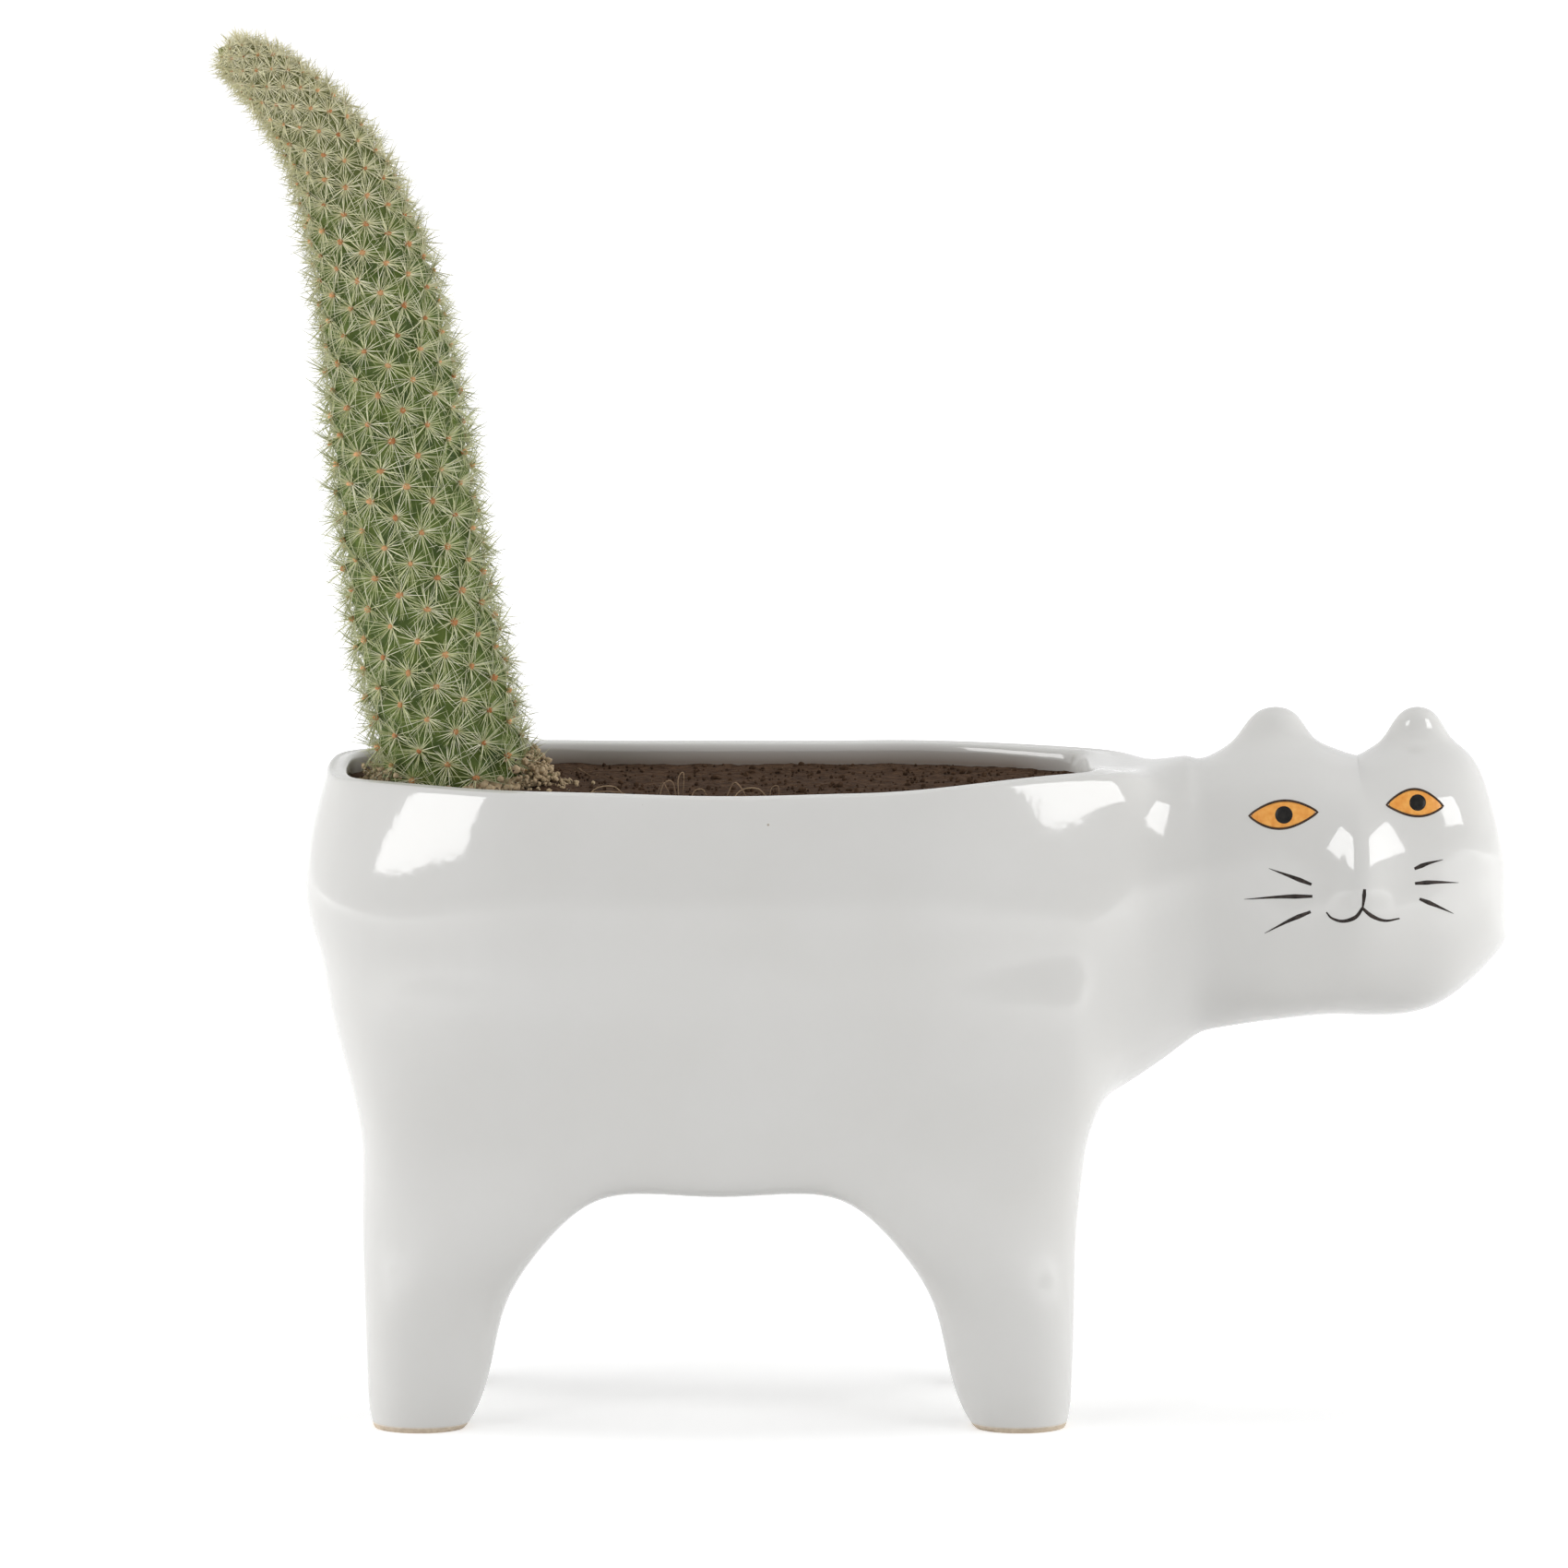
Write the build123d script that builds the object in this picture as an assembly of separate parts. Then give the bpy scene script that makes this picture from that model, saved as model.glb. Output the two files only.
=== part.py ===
from build123d import *
import os
from math import cos, hypot, pi, radians, sin
import numpy as np

# Cat-shaped ceramic planter, seen side on, with a leaning cactus as its tail.
# While modelling, X runs from the rump to the head, the face looks along -Y, Z is up,
# and the zero point lies on the ground midway between the four feet.
# All lengths are millimetres and all angles are degrees.

# Pot wall and rim
WALL = 5.0
RIM_HEIGHT = 129.5
LIP_DROP = 2.4
# Cove between the wall and the floor inside, in wall thicknesses
COVE_RISE = 1.4
COVE_INSET = 2.2

# Trunk: outlines at the hip, flank, rump and rim, with rounder corners the higher they lie
HIP_HEIGHT = 58.0
HIP_REAR = 71.6
HIP_FRONT = 73.6
HIP_HALF_DEPTH = 35.5
HIP_CORNER = 17.5
FLANK_HEIGHT = 80.0
FLANK_REAR = 77.0
FLANK_FRONT = 81.0
FLANK_HALF_DEPTH = 38.0
FLANK_CORNER = 26.0
RUMP_DROP = 20.5
RUMP_REAR = 82.6
RUMP_FRONT = 84.0
RUMP_HALF_DEPTH = 38.0
RUMP_CORNER = 32.5
RIM_REAR = 78.5
RIM_FRONT = 82.5
RIM_HALF_DEPTH = 35.2
RIM_CORNER = 32.5
COLUMN_STEP = 22.0
MIDDLE_ROW = 13.0

# Belly and legs
BELLY_HEIGHT = 47.0
BELLY_HALF_DEPTH = 31.0
BELLY_EDGE_RISE = 0.8
ARCH_HALF_LENGTH = 38.9
ARCH_HEIGHT = 38.5
CROTCH_HEIGHT = 40.0
FOOT_SPREAD_X = 120.4
FOOT_SPREAD_Y = 46.0
FOOT_LENGTH = 21.6
FOOT_WIDTH = 20.4
ANKLE_HEIGHT = 9.0
ANKLE_LENGTH = 24.4
ANKLE_LEAN = 0.55
KNEE_HEIGHT = 24.0
KNEE_LENGTH = 28.6
KNEE_WIDTH = 22.0
THIGH_TUCK = 2.6
THIGH_SWELL = 1.8
SOLE_DEPTH = 2.0
SOLE_TAPER = 6.5

# Neck and head: upright rings, counted along X from the middle of the nose.
# Heights are shares of the height from the hip to the rim.
HEAD_X = 127.0
FACE_REACH = 23.5
NAPE_REACH = 25.0
NOSE_REACH = 26.5
CHIN_HALF_WIDTH = 15.4
CROWN_FRONT = 18.0
CROWN_BACK = 12.6
MUZZLE_SHARE = 0.52
BROW_SHARE = 0.78
# Each ring: distance from the nose and of its top, shares of its underside and top, size against the cheek
HEAD_RINGS = {
    "neck": (-34.0, -34.0, 0.28, 0.98, 0.86),
    "jaw": (-26.5, -27.5, 0.318, 0.99, 0.835),
    "cheek": (-9.5, -4.5, 0.348, 1.0, 1.0),
    "nose": (0.0, 0.0, 0.35, 0.985, 1.0),
    "other_cheek": (12.0, 4.0, 0.36, 1.0, 0.985),
    "temple": (22.5, 23.0, 0.43, 0.965, 0.8),
    "end": (29.3, 29.3, 0.51, 0.77, 0.4),
}
NECK_HALF_WIDTH = 23.0
NECK_TAPER = 0.7
NECK_STEP = 3.0
CHEST_SHARE = 0.15
NECK_LOW_SHARE = 0.42
NECK_HIGH_SHARE = 0.74
NECK_TOP_SHARE = 0.985
# Each ear: distance from the nose, size against the right one
EARS = {"right_ear": (-16.2, 1.0), "left_ear": (12.2, 0.87)}
# Each ring of an ear: rise above the rim, half length, half width
EAR_RINGS = ((5.5, 5.9, 5.2), (10.6, 2.9, 2.6))

# Fired-on enamel of the face
ENAMEL = 0.3
PLATE_SHARE = 0.78
PLATE_LENGTH = 84.0
PLATE_DEPTH = 39.0
PLATE_HEIGHT = 46.0
FACE_TILT = 1.1
EYE_SPACING = 26.3
EYE_SHIFT = -2.0
EYE_SHARE = 0.915
EYE_LENGTH = 13.0
EYE_OPENING = 5.2
EYE_LINE = 0.6
PUPIL_RADIUS = 1.8
MOUTH_SHIFT = 0.6
MOUTH_SHARE = 0.647
MOUTH_RISE = 5.0
MOUTH_HALF = 6.8
MOUTH_DIP = 2.4
MOUTH_END = 0.8
STROKE = 0.9
WHISKER_START = 10.5
WHISKER_RIGHT_LENGTH = 11.5
WHISKER_LEFT_LENGTH = 8.0
WHISKER_SHARE = 0.69
WHISKER_STEP = 4.2
WHISKER_FAN = 14.0

# Drain in the belly: hole, rubber stopper and mesh, each on a flat seat
DRAIN_RADIUS = 6.0
SEAT_DEPTH = 1.6
SEAT_MARGIN = 0.3
PLUG_CLEARANCE = 0.1
PLUG_SHANK = 1.9
PLUG_FLANGE_RADIUS = 9.5
PLUG_FLANGE = 2.0
PLUG_GRIP_RADIUS = 3.5
PLUG_GRIP = 2.6
MESH_RADIUS = 13.0
MESH_THICKNESS = 1.2
MESH_PITCH = 2.8
MESH_HOLE_RADIUS = 0.9

# Fill of the pot
FILL_GAP = 0.5
PEBBLE_TOP = 66.0
SOIL_TOP = 124.6

# Plant: root ball in a tapered pocket, and the stem that leans over to the rear
PLANT_X = -54.0
ROOT_DEPTH = 46.0
ROOT_BOTTOM_RADIUS = 12.0
ROOT_TOP_RADIUS = 18.0
MOUND_RISE = 3.0
MOUND_RADIUS = 17.0
SOCKET_DEPTH = 12.0
SOCKET_GAP = 1.8
STEM_FOOT_RADIUS = 7.5
STEM_SWELL = 0.08
STEM_RADIUS = 12.8
STEM_TIP_HEIGHT = 270.0
STEM_TIP_X = 38.5
STEM_TIP_SLOPE = 0.4
STEM_TIP_RADIUS = 4.0
STEM_TIP_REACH = 7.0
STEM_TAPER_START = 0.5
STEM_TAPER_POWER = 1.2
STEM_RINGS = 14
# Spots of the bent stem: distance behind its foot, share of its height above the soil
STEM_SPOTS = ((9.5, 0.457), (14.5, 0.711), (20.6, 0.842))

# Spines: one three-sided spine on each facet of a thin sleeve round the stem
SLEEVE_GAP = 1.0
SLEEVE_WALL = 0.6
SLEEVE_CLEARANCE = 1.5
SLEEVE_SIDES = 16
SLEEVE_ROWS = 13
SPINE_LENGTH = 3.2
SPINE_SHARE = 0.14


class Skin:
    """Closed smooth surface through named points, with one bicubic patch on each four-sided cell."""

    def __init__(self):
        self.index = {}
        self.points = []
        self.cells = []

    def put(self, key, x, y, z):
        """Name a point that the surface passes through."""
        self.index[key] = len(self.points)
        self.points.append((x, y, z))

    def cell(self, *keys):
        """Add a cell by its four corners, anticlockwise seen from outside."""
        self.cells.append(tuple(self.index[key] for key in keys))

    def band(self, low, high):
        """Join two closed rings of points by a band of cells."""
        for a, b, c, d in zip(low, low[1:] + low[:1], high[1:] + high[:1], high):
            self.cell(a, b, c, d)

    def weights(self, around, cell, corner):
        """Share of every point in the control point inside a cell, next to one of its corners."""
        valence = len(around[cell[corner]])
        row = np.zeros(len(self.points))
        row[cell[corner]] = valence
        row[cell[corner - 1]] = 2
        row[cell[corner - 3]] = 2
        row[cell[corner - 2]] = 1
        return row / (valence + 5)

    def solid(self):
        """Solid bounded by the patches, whose corners lie on the named points."""
        around = {vertex: [] for vertex in range(len(self.points))}
        for cell in self.cells:
            for corner in range(4):
                around[cell[corner]].append((cell, corner))
        rows = {spot: self.weights(around, *spot) for spots in around.values() for spot in spots}
        limits = np.array([np.mean([rows[spot] for spot in around[vertex]], axis=0) for vertex in around])
        cage = np.linalg.solve(limits, np.array(self.points))
        inner = {spot: row @ cage for spot, row in rows.items()}
        edges = {}
        for cell, corner in inner:
            for other in (cell[corner - 1], cell[corner - 3]):
                edges.setdefault((cell[corner], other), []).append(inner[cell, corner])
        edge = {ends: np.mean(spots, axis=0) for ends, spots in edges.items()}
        faces = []
        for cell in self.cells:
            a, b, c, d = cell
            grid = [
                [self.points[a], edge[a, b], edge[b, a], self.points[b]],
                [edge[a, d], inner[cell, 0], inner[cell, 1], edge[b, c]],
                [edge[d, a], inner[cell, 3], inner[cell, 2], edge[c, b]],
                [self.points[d], edge[d, c], edge[c, d], self.points[c]],
            ]
            faces.append(Face.make_bezier_surface([[Vector(*spot) for spot in row] for row in grid]))
        return Solid(Shell(faces))


# Outlines of the trunk: height, reach to the rear and front, half depth, corner radius
HIP = (HIP_HEIGHT, HIP_REAR, HIP_FRONT, HIP_HALF_DEPTH, HIP_CORNER)
FLANK = (FLANK_HEIGHT, FLANK_REAR, FLANK_FRONT, FLANK_HALF_DEPTH, FLANK_CORNER)
RUMP = (RIM_HEIGHT - RUMP_DROP, RUMP_REAR, RUMP_FRONT, RUMP_HALF_DEPTH, RUMP_CORNER)
RIM = (RIM_HEIGHT, RIM_REAR, RIM_FRONT, RIM_HALF_DEPTH, RIM_CORNER)
SLAB_SPAN = 6 * FOOT_SPREAD_X
PLUG_SEAT = BELLY_HEIGHT + SEAT_DEPTH
FLOOR_SEAT = BELLY_HEIGHT + WALL - MESH_THICKNESS
COLUMNS = range(7)
ROWS = range(4)
AROUND = [(i, 0) for i in COLUMNS] + [(6, 1), (6, 2)]
AROUND += [(i, 3) for i in reversed(COLUMNS)] + [(0, 2), (0, 1)]
LEG_CELLS = [(0, 0), (5, 0), (5, 2), (0, 2)]
SQUARE = ((-1, -1), (1, -1), (1, 1), (-1, 1))


def plan_spot(i, j, outline, shrink):
    """Place in plan of a trunk point, by its column and row, on an outline drawn in by a margin."""
    height, rear, front, half_depth, corner = outline
    x = {0: shrink - rear, 6: front - shrink}.get(i, (i - 3) * COLUMN_STEP)
    y = {0: shrink - half_depth, 3: half_depth - shrink}.get(j, MIDDLE_ROW if j == 2 else -MIDDLE_ROW)
    if i in (0, 6) and j in (0, 3):
        inset = (corner - shrink) * (1 - cos(radians(45)))
        x += inset if i == 0 else -inset
        y += inset if j == 0 else -inset
    return x, y


def put_ring(skin, level, outline, shrink, rise=0):
    """Name the points of a level ring of the trunk, raised off its outline, and return their keys."""
    for i, j in AROUND:
        x, y = plan_spot(i, j, outline, shrink)
        skin.put((level, i, j), x, y, outline[0] + rise)
    return [(level, i, j) for i, j in AROUND]


def put_floor(skin, shrink):
    """Name the points of the trunk's floor inside the wall and return the keys of its edge."""
    cove = BELLY_HEIGHT + COVE_RISE * shrink
    ring = put_ring(skin, "floor", HIP, COVE_INSET * shrink, cove - HIP_HEIGHT)
    for i in COLUMNS[1:-1]:
        for j in ROWS[1:-1]:
            x, y = plan_spot(i, j, HIP, shrink)
            skin.put(("floor", i, j), x, y, BELLY_HEIGHT + shrink)
    return ring


def put_belly(skin):
    """Name the points of the belly: flat in the middle, falling to an arch at each leg."""
    foot_x = FOOT_SPREAD_X / 2
    side_y = FOOT_SPREAD_Y / 2
    inner_y = side_y - FOOT_WIDTH / 2
    outer_x = foot_x + FOOT_LENGTH / 2
    outer_y = side_y + FOOT_WIDTH / 2
    for i in COLUMNS:
        for j in ROWS:
            to_x = -1 if i < 3 else 1
            to_y = -1 if j < 2 else 1
            edge_row = j in (0, 3)
            if i in (2, 3, 4):
                y = BELLY_HALF_DEPTH if edge_row else MIDDLE_ROW
                spot = ((i - 3) * COLUMN_STEP, to_y * y, BELLY_HEIGHT + (BELLY_EDGE_RISE if edge_row else 0))
            elif i in (1, 5):
                y = outer_y + THIGH_SWELL if edge_row else inner_y
                spot = (to_x * ARCH_HALF_LENGTH, to_y * y, ARCH_HEIGHT)
            elif edge_row:
                corner = FOOT_WIDTH / 4
                spot = (to_x * (outer_x - corner), to_y * (outer_y - corner + THIGH_SWELL), CROTCH_HEIGHT)
            else:
                spot = (to_x * (outer_x - THIGH_TUCK), to_y * inner_y, CROTCH_HEIGHT)
            skin.put(("belly", i, j), *spot)


def leg_ring(skin, corner, level, height, length, width, shift):
    """Name the four points round a leg at a height and return their keys."""
    i, j = corner
    to_x = -1 if i < 3 else 1
    to_y = -1 if j < 2 else 1
    middle_x = to_x * (FOOT_SPREAD_X / 2 - shift)
    middle_y = to_y * FOOT_SPREAD_Y / 2
    half_x = length / 2 * cos(radians(45))
    half_y = width / 2 * cos(radians(45))
    keys = []
    for step_x, step_y in SQUARE:
        key = (level, corner, step_x, step_y)
        skin.put(key, middle_x + step_x * half_x, middle_y + step_y * half_y, height)
        keys.append(key)
    return keys


def add_leg(skin, corner):
    """Hang one leg on its corner cell of the belly."""
    i, j = corner
    top = [("belly", i, j), ("belly", i + 1, j), ("belly", i + 1, j + 1), ("belly", i, j + 1)]
    lean = (KNEE_LENGTH - FOOT_LENGTH) / 2
    knee = leg_ring(skin, corner, "knee", KNEE_HEIGHT, KNEE_LENGTH, KNEE_WIDTH, lean)
    ankle = leg_ring(skin, corner, "ankle", ANKLE_HEIGHT, ANKLE_LENGTH, FOOT_WIDTH, ANKLE_LEAN * lean)
    sole = leg_ring(skin, corner, "sole", -SOLE_DEPTH, FOOT_LENGTH - SOLE_TAPER, FOOT_WIDTH - SOLE_TAPER, 0)
    skin.band(knee, top)
    skin.band(ankle, knee)
    skin.band(sole, ankle)
    skin.cell(*reversed(sole))


def head_height(share):
    """Height at a share of the way from the hip to the rim."""
    return HIP_HEIGHT + share * (RIM_HEIGHT - HIP_HEIGHT)


def head_ring(skin, station, x, top_x, low_share, high_share, size):
    """Name the eight points of an upright ring of the neck or head and return their keys."""
    low, high = head_height(low_share), head_height(high_share)
    middle = (low + high) / 2
    lower = (middle + head_height(MUZZLE_SHARE)) / 2
    upper = (middle + head_height(BROW_SHARE)) / 2
    front = NOSE_REACH if station == "nose" else FACE_REACH * size
    back = NAPE_REACH * size
    chin = CHIN_HALF_WIDTH * size
    spots = [(x, -chin, low), (x, -front, lower), (x, -front, upper), (top_x, -CROWN_FRONT * size, high)]
    spots += [(top_x, CROWN_BACK * size, high), (x, back, upper), (x, back, lower), (x, chin, low)]
    for step, spot in enumerate(spots):
        skin.put((station, step), *spot)
    return [(station, step) for step in range(8)]


def join_rings(skin, near, far, skip=()):
    """Join two upright rings, leaving out the cells that carry something else."""
    for step in range(8):
        if step not in skip:
            after = (step + 1) % 8
            skin.cell(near[step], far[step], far[after], near[after])


def add_ear(skin, near, far, name):
    """Raise an ear on the top cell between two head rings."""
    middle, size = EARS[name]
    ring = [near[3], far[3], far[4], near[4]]
    for level, (rise, half_length, half_width) in enumerate(EAR_RINGS):
        above = []
        for step_x, step_y in SQUARE:
            key = (name, level, step_x, step_y)
            x = HEAD_X + middle + step_x * half_length * size
            skin.put(key, x, step_y * half_width * size, RIM_HEIGHT + rise)
            above.append(key)
        skin.band(ring, above)
        ring = above
    skin.cell(*ring)


def add_head(skin, root):
    """Grow the neck and head from a ring of points on the front of the trunk."""
    rings = [root]
    for station, (x, top_x, *sizes) in HEAD_RINGS.items():
        rings.append(head_ring(skin, station, HEAD_X + x, HEAD_X + top_x, *sizes))
    for near, far in zip(rings, rings[1:]):
        skip = (3,) if near[0][0] in ("jaw", "other_cheek") else ()
        join_rings(skin, near, far, skip)
    end = rings[-1]
    for step in range(3):
        skin.cell(end[step], end[7 - step], end[6 - step], end[step + 1])
    add_ear(skin, rings[2], rings[3], "right_ear")
    add_ear(skin, rings[5], rings[6], "left_ear")


def set_neck_root(skin):
    """Move the trunk's front points to where the neck leaves, and return their keys in ring order."""
    spots = {
        "flank": (FLANK_FRONT, NECK_TAPER * NECK_HALF_WIDTH, CHEST_SHARE),
        "waist": (RUMP_FRONT, NECK_HALF_WIDTH, NECK_LOW_SHARE),
        "rump": (RUMP_FRONT, NECK_HALF_WIDTH, NECK_HIGH_SHARE),
        "lip": (RIM_FRONT + NECK_STEP, NECK_TAPER * NECK_HALF_WIDTH, NECK_TOP_SHARE),
    }
    for level, (x, half, share) in spots.items():
        skin.points[skin.index[level, 6, 1]] = (x, -half, head_height(share))
        skin.points[skin.index[level, 6, 2]] = (x, half, head_height(share))
    return [(level, 6, 1) for level in spots] + [(level, 6, 2) for level in reversed(spots)]


def wall_bands(skin, rings, neck_levels):
    """Join the level rings of the trunk, leaving open the cells that carry the neck."""
    for low, high in zip(rings, rings[1:]):
        for place, here in enumerate(low):
            after = (place + 1) % len(low)
            if here[1:] == (6, 1) and here[0] in neck_levels:
                continue
            skin.cell(here, low[after], high[after], high[place])


def trunk_rings(skin, prefix, shrink):
    """Name the rings of the trunk from the flank to the lip and return their keys, lowest first."""
    waist = [(low + high) / 2 for low, high in zip(FLANK, RUMP)]
    lip = (RIM_HEIGHT - LIP_DROP, *RIM[1:])
    levels = {"flank": FLANK, "waist": waist, "rump": RUMP, "lip": lip}
    return [put_ring(skin, prefix + level, outline, shrink) for level, outline in levels.items()]


def pot_form():
    """Whole cat: outer skin, rim and the hollow of the trunk in one closed surface."""
    skin = Skin()
    put_belly(skin)
    belly = [("belly", i, j) for i, j in AROUND]
    hip = put_ring(skin, "hip", HIP, 0)
    outside = trunk_rings(skin, "", 0)
    rim = put_ring(skin, "rim", RIM, WALL / 2)
    inside = hollow_rings(skin, WALL)
    wall_bands(skin, [belly, hip] + outside + [rim] + inside, ("flank", "waist", "rump"))
    for i in COLUMNS[:-1]:
        for j in ROWS[:-1]:
            skin.cell(("floor", i, j), ("floor", i + 1, j), ("floor", i + 1, j + 1), ("floor", i, j + 1))
            if (i, j) not in LEG_CELLS:
                skin.cell(("belly", i, j), ("belly", i, j + 1), ("belly", i + 1, j + 1), ("belly", i + 1, j))
    for corner in LEG_CELLS:
        add_leg(skin, corner)
    add_head(skin, set_neck_root(skin))
    return skin.solid()


def hollow_rings(skin, shrink):
    """Name the rings of the trunk's hollow, from the lip down to the floor, and return their keys."""
    rings = trunk_rings(skin, "inner_", shrink)
    rings.insert(0, put_ring(skin, "inner_hip", HIP, shrink, shrink))
    rings.insert(0, put_floor(skin, shrink))
    return rings[::-1]


def fill_form():
    """Space that the fill takes up: the hollow of the trunk, drawn in by a gap and closed above the rim."""
    skin = Skin()
    shrink = WALL + FILL_GAP
    cover = put_ring(skin, "cover", RIM, shrink, WALL)
    for i in COLUMNS[1:-1]:
        for j in ROWS[1:-1]:
            x, y = plan_spot(i, j, RIM, shrink)
            skin.put(("cover", i, j), x, y, RIM_HEIGHT + WALL)
    rings = [cover] + hollow_rings(skin, shrink)
    for high, low in zip(rings, rings[1:]):
        skin.band(low, high)
    for i in COLUMNS[:-1]:
        for j in ROWS[:-1]:
            skin.cell(("cover", i, j), ("cover", i + 1, j), ("cover", i + 1, j + 1), ("cover", i, j + 1))
            skin.cell(("floor", i, j), ("floor", i, j + 1), ("floor", i + 1, j + 1), ("floor", i + 1, j))
    return skin.solid()


def rod(x, y, low, high, radius):
    """Upright cylinder between two heights."""
    return Pos(x, y, (low + high) / 2) * Cylinder(radius, high - low)


def taper(x, low, high, low_radius, high_radius):
    """Upright truncated cone between two heights."""
    return Pos(x, 0, (low + high) / 2) * Cone(low_radius, high_radius, high - low)


def slab(low, high):
    """Wide flat block between two heights."""
    return Pos(0, 0, (low + high) / 2) * Box(SLAB_SPAN, SLAB_SPAN, high - low)


def drained(form):
    """Cat with flat soles, and with the drain hole and its two flat seats in the belly."""
    hole = rod(0, 0, BELLY_HEIGHT - WALL, FLOOR_SEAT + WALL, DRAIN_RADIUS)
    plug_seat = rod(0, 0, BELLY_HEIGHT - WALL, PLUG_SEAT, PLUG_FLANGE_RADIUS + SEAT_MARGIN)
    mesh_seat = rod(0, 0, FLOOR_SEAT, FLOOR_SEAT + WALL, MESH_RADIUS + SEAT_MARGIN)
    return form - slab(-4 * SOLE_DEPTH, 0) - hole - plug_seat - mesh_seat


def drain_plug():
    """Stopper of one moulded piece: shank in the hole, flange under the belly and a grip to pull."""
    flange_low = PLUG_SEAT - PLUG_FLANGE
    shank = rod(0, 0, flange_low, PLUG_SEAT + PLUG_SHANK, DRAIN_RADIUS - PLUG_CLEARANCE)
    flange = rod(0, 0, flange_low, PLUG_SEAT, PLUG_FLANGE_RADIUS)
    grip = rod(0, 0, flange_low - PLUG_GRIP, flange_low, PLUG_GRIP_RADIUS)
    return shank + flange + grip


def drain_mesh():
    """Disc with a grid of small holes, let into the floor over the drain hole."""
    disc = rod(0, 0, FLOOR_SEAT, FLOOR_SEAT + MESH_THICKNESS, MESH_RADIUS)
    reach = int(MESH_RADIUS // MESH_PITCH)
    steps = range(-reach, reach + 1)
    spots = [(a * MESH_PITCH, b * MESH_PITCH) for a in steps for b in steps]
    kept = [spot for spot in spots if hypot(*spot) < MESH_RADIUS - MESH_PITCH]
    low, high = FLOOR_SEAT - MESH_THICKNESS, FLOOR_SEAT + 2 * MESH_THICKNESS
    return disc - [rod(x, y, low, high, MESH_HOLE_RADIUS) for x, y in kept]


def root_pocket(gap):
    """Tapered space of the root ball in the soil, widened by a gap."""
    low = SOIL_TOP - ROOT_DEPTH
    return taper(PLANT_X, low, SOIL_TOP, ROOT_BOTTOM_RADIUS + gap, ROOT_TOP_RADIUS + gap)


def root_ball():
    """Root ball with a low mound round the foot of the stem and a socket for it."""
    mound = taper(PLANT_X, SOIL_TOP, SOIL_TOP + MOUND_RISE, ROOT_TOP_RADIUS, MOUND_RADIUS)
    socket = taper(
        PLANT_X, SOIL_TOP - SOCKET_DEPTH, SOIL_TOP + MOUND_RISE,
        STEM_FOOT_RADIUS + SOCKET_GAP, STEM_RADIUS + SOCKET_GAP,
    )
    return root_pocket(0) + mound - socket


def stem_line():
    """Middle line of the stem, upright at its foot and bent over to the rear."""
    height = STEM_TIP_HEIGHT - SOIL_TOP
    spots = [(PLANT_X, 0, SOIL_TOP - SOCKET_DEPTH)]
    spots += [(PLANT_X - behind, 0, SOIL_TOP + share * height) for behind, share in STEM_SPOTS]
    spots += [(PLANT_X - STEM_TIP_X, 0, STEM_TIP_HEIGHT)]
    return Spline(*spots, tangents=[(0, 0, 1), (-1, 0, STEM_TIP_SLOPE)])


def stem_radius(along):
    """Radius of the stem at a share of its length."""
    if along < STEM_SWELL:
        return STEM_FOOT_RADIUS + (STEM_RADIUS - STEM_FOOT_RADIUS) * along / STEM_SWELL
    if along < STEM_TAPER_START:
        return STEM_RADIUS
    share = (along - STEM_TAPER_START) / (1 - STEM_TAPER_START)
    return STEM_RADIUS - (STEM_RADIUS - STEM_TIP_RADIUS) * share**STEM_TAPER_POWER


def ring_round(line, along, radius, sides):
    """Points round the stem's middle line at a share of its length."""
    middle = line.position_at(along)
    ahead = line.tangent_at(along)
    outward = Vector(ahead.Z, 0, -ahead.X)
    turns = [2 * pi * step / sides for step in range(sides)]
    return [middle + outward * (radius * cos(turn)) + Vector(0, radius * sin(turn), 0) for turn in turns]


def cactus_stem():
    """Fleshy stem as one smooth surface, cut flat at its foot."""
    skin = Skin()
    line = stem_line()
    rings = []
    for step in range(STEM_RINGS + 1):
        along = step / STEM_RINGS
        spots = ring_round(line, along, stem_radius(along), 4)
        for side, spot in enumerate(spots):
            skin.put((step, side), *spot)
        rings.append([(step, side) for side in range(4)])
    for low, high in zip(rings, rings[1:]):
        skin.band(low, high)
    skin.cell(*reversed(rings[0]))
    skin.cell(*rings[-1])
    return skin.solid() & slab(SOIL_TOP - SOCKET_DEPTH, 2 * STEM_TIP_HEIGHT)


def facet(*spots):
    """Flat face with straight edges."""
    return Face(Wire.make_polygon(spots))


def spine_facet(a, b, c):
    """Triangle of the sleeve with a three-sided spine standing on its middle."""
    middle = (a + b + c) / 3
    foot = [middle + (corner - middle) * SPINE_SHARE for corner in (a, b, c)]
    tip = middle + (b - a).cross(c - a).normalized() * SPINE_LENGTH
    faces = []
    for here, after in ((0, 1), (1, 2), (2, 0)):
        corners = (a, b, c)
        faces.append(facet(corners[here], corners[after], foot[after], foot[here]))
        faces.append(facet(foot[here], foot[after], tip))
    return faces


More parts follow.
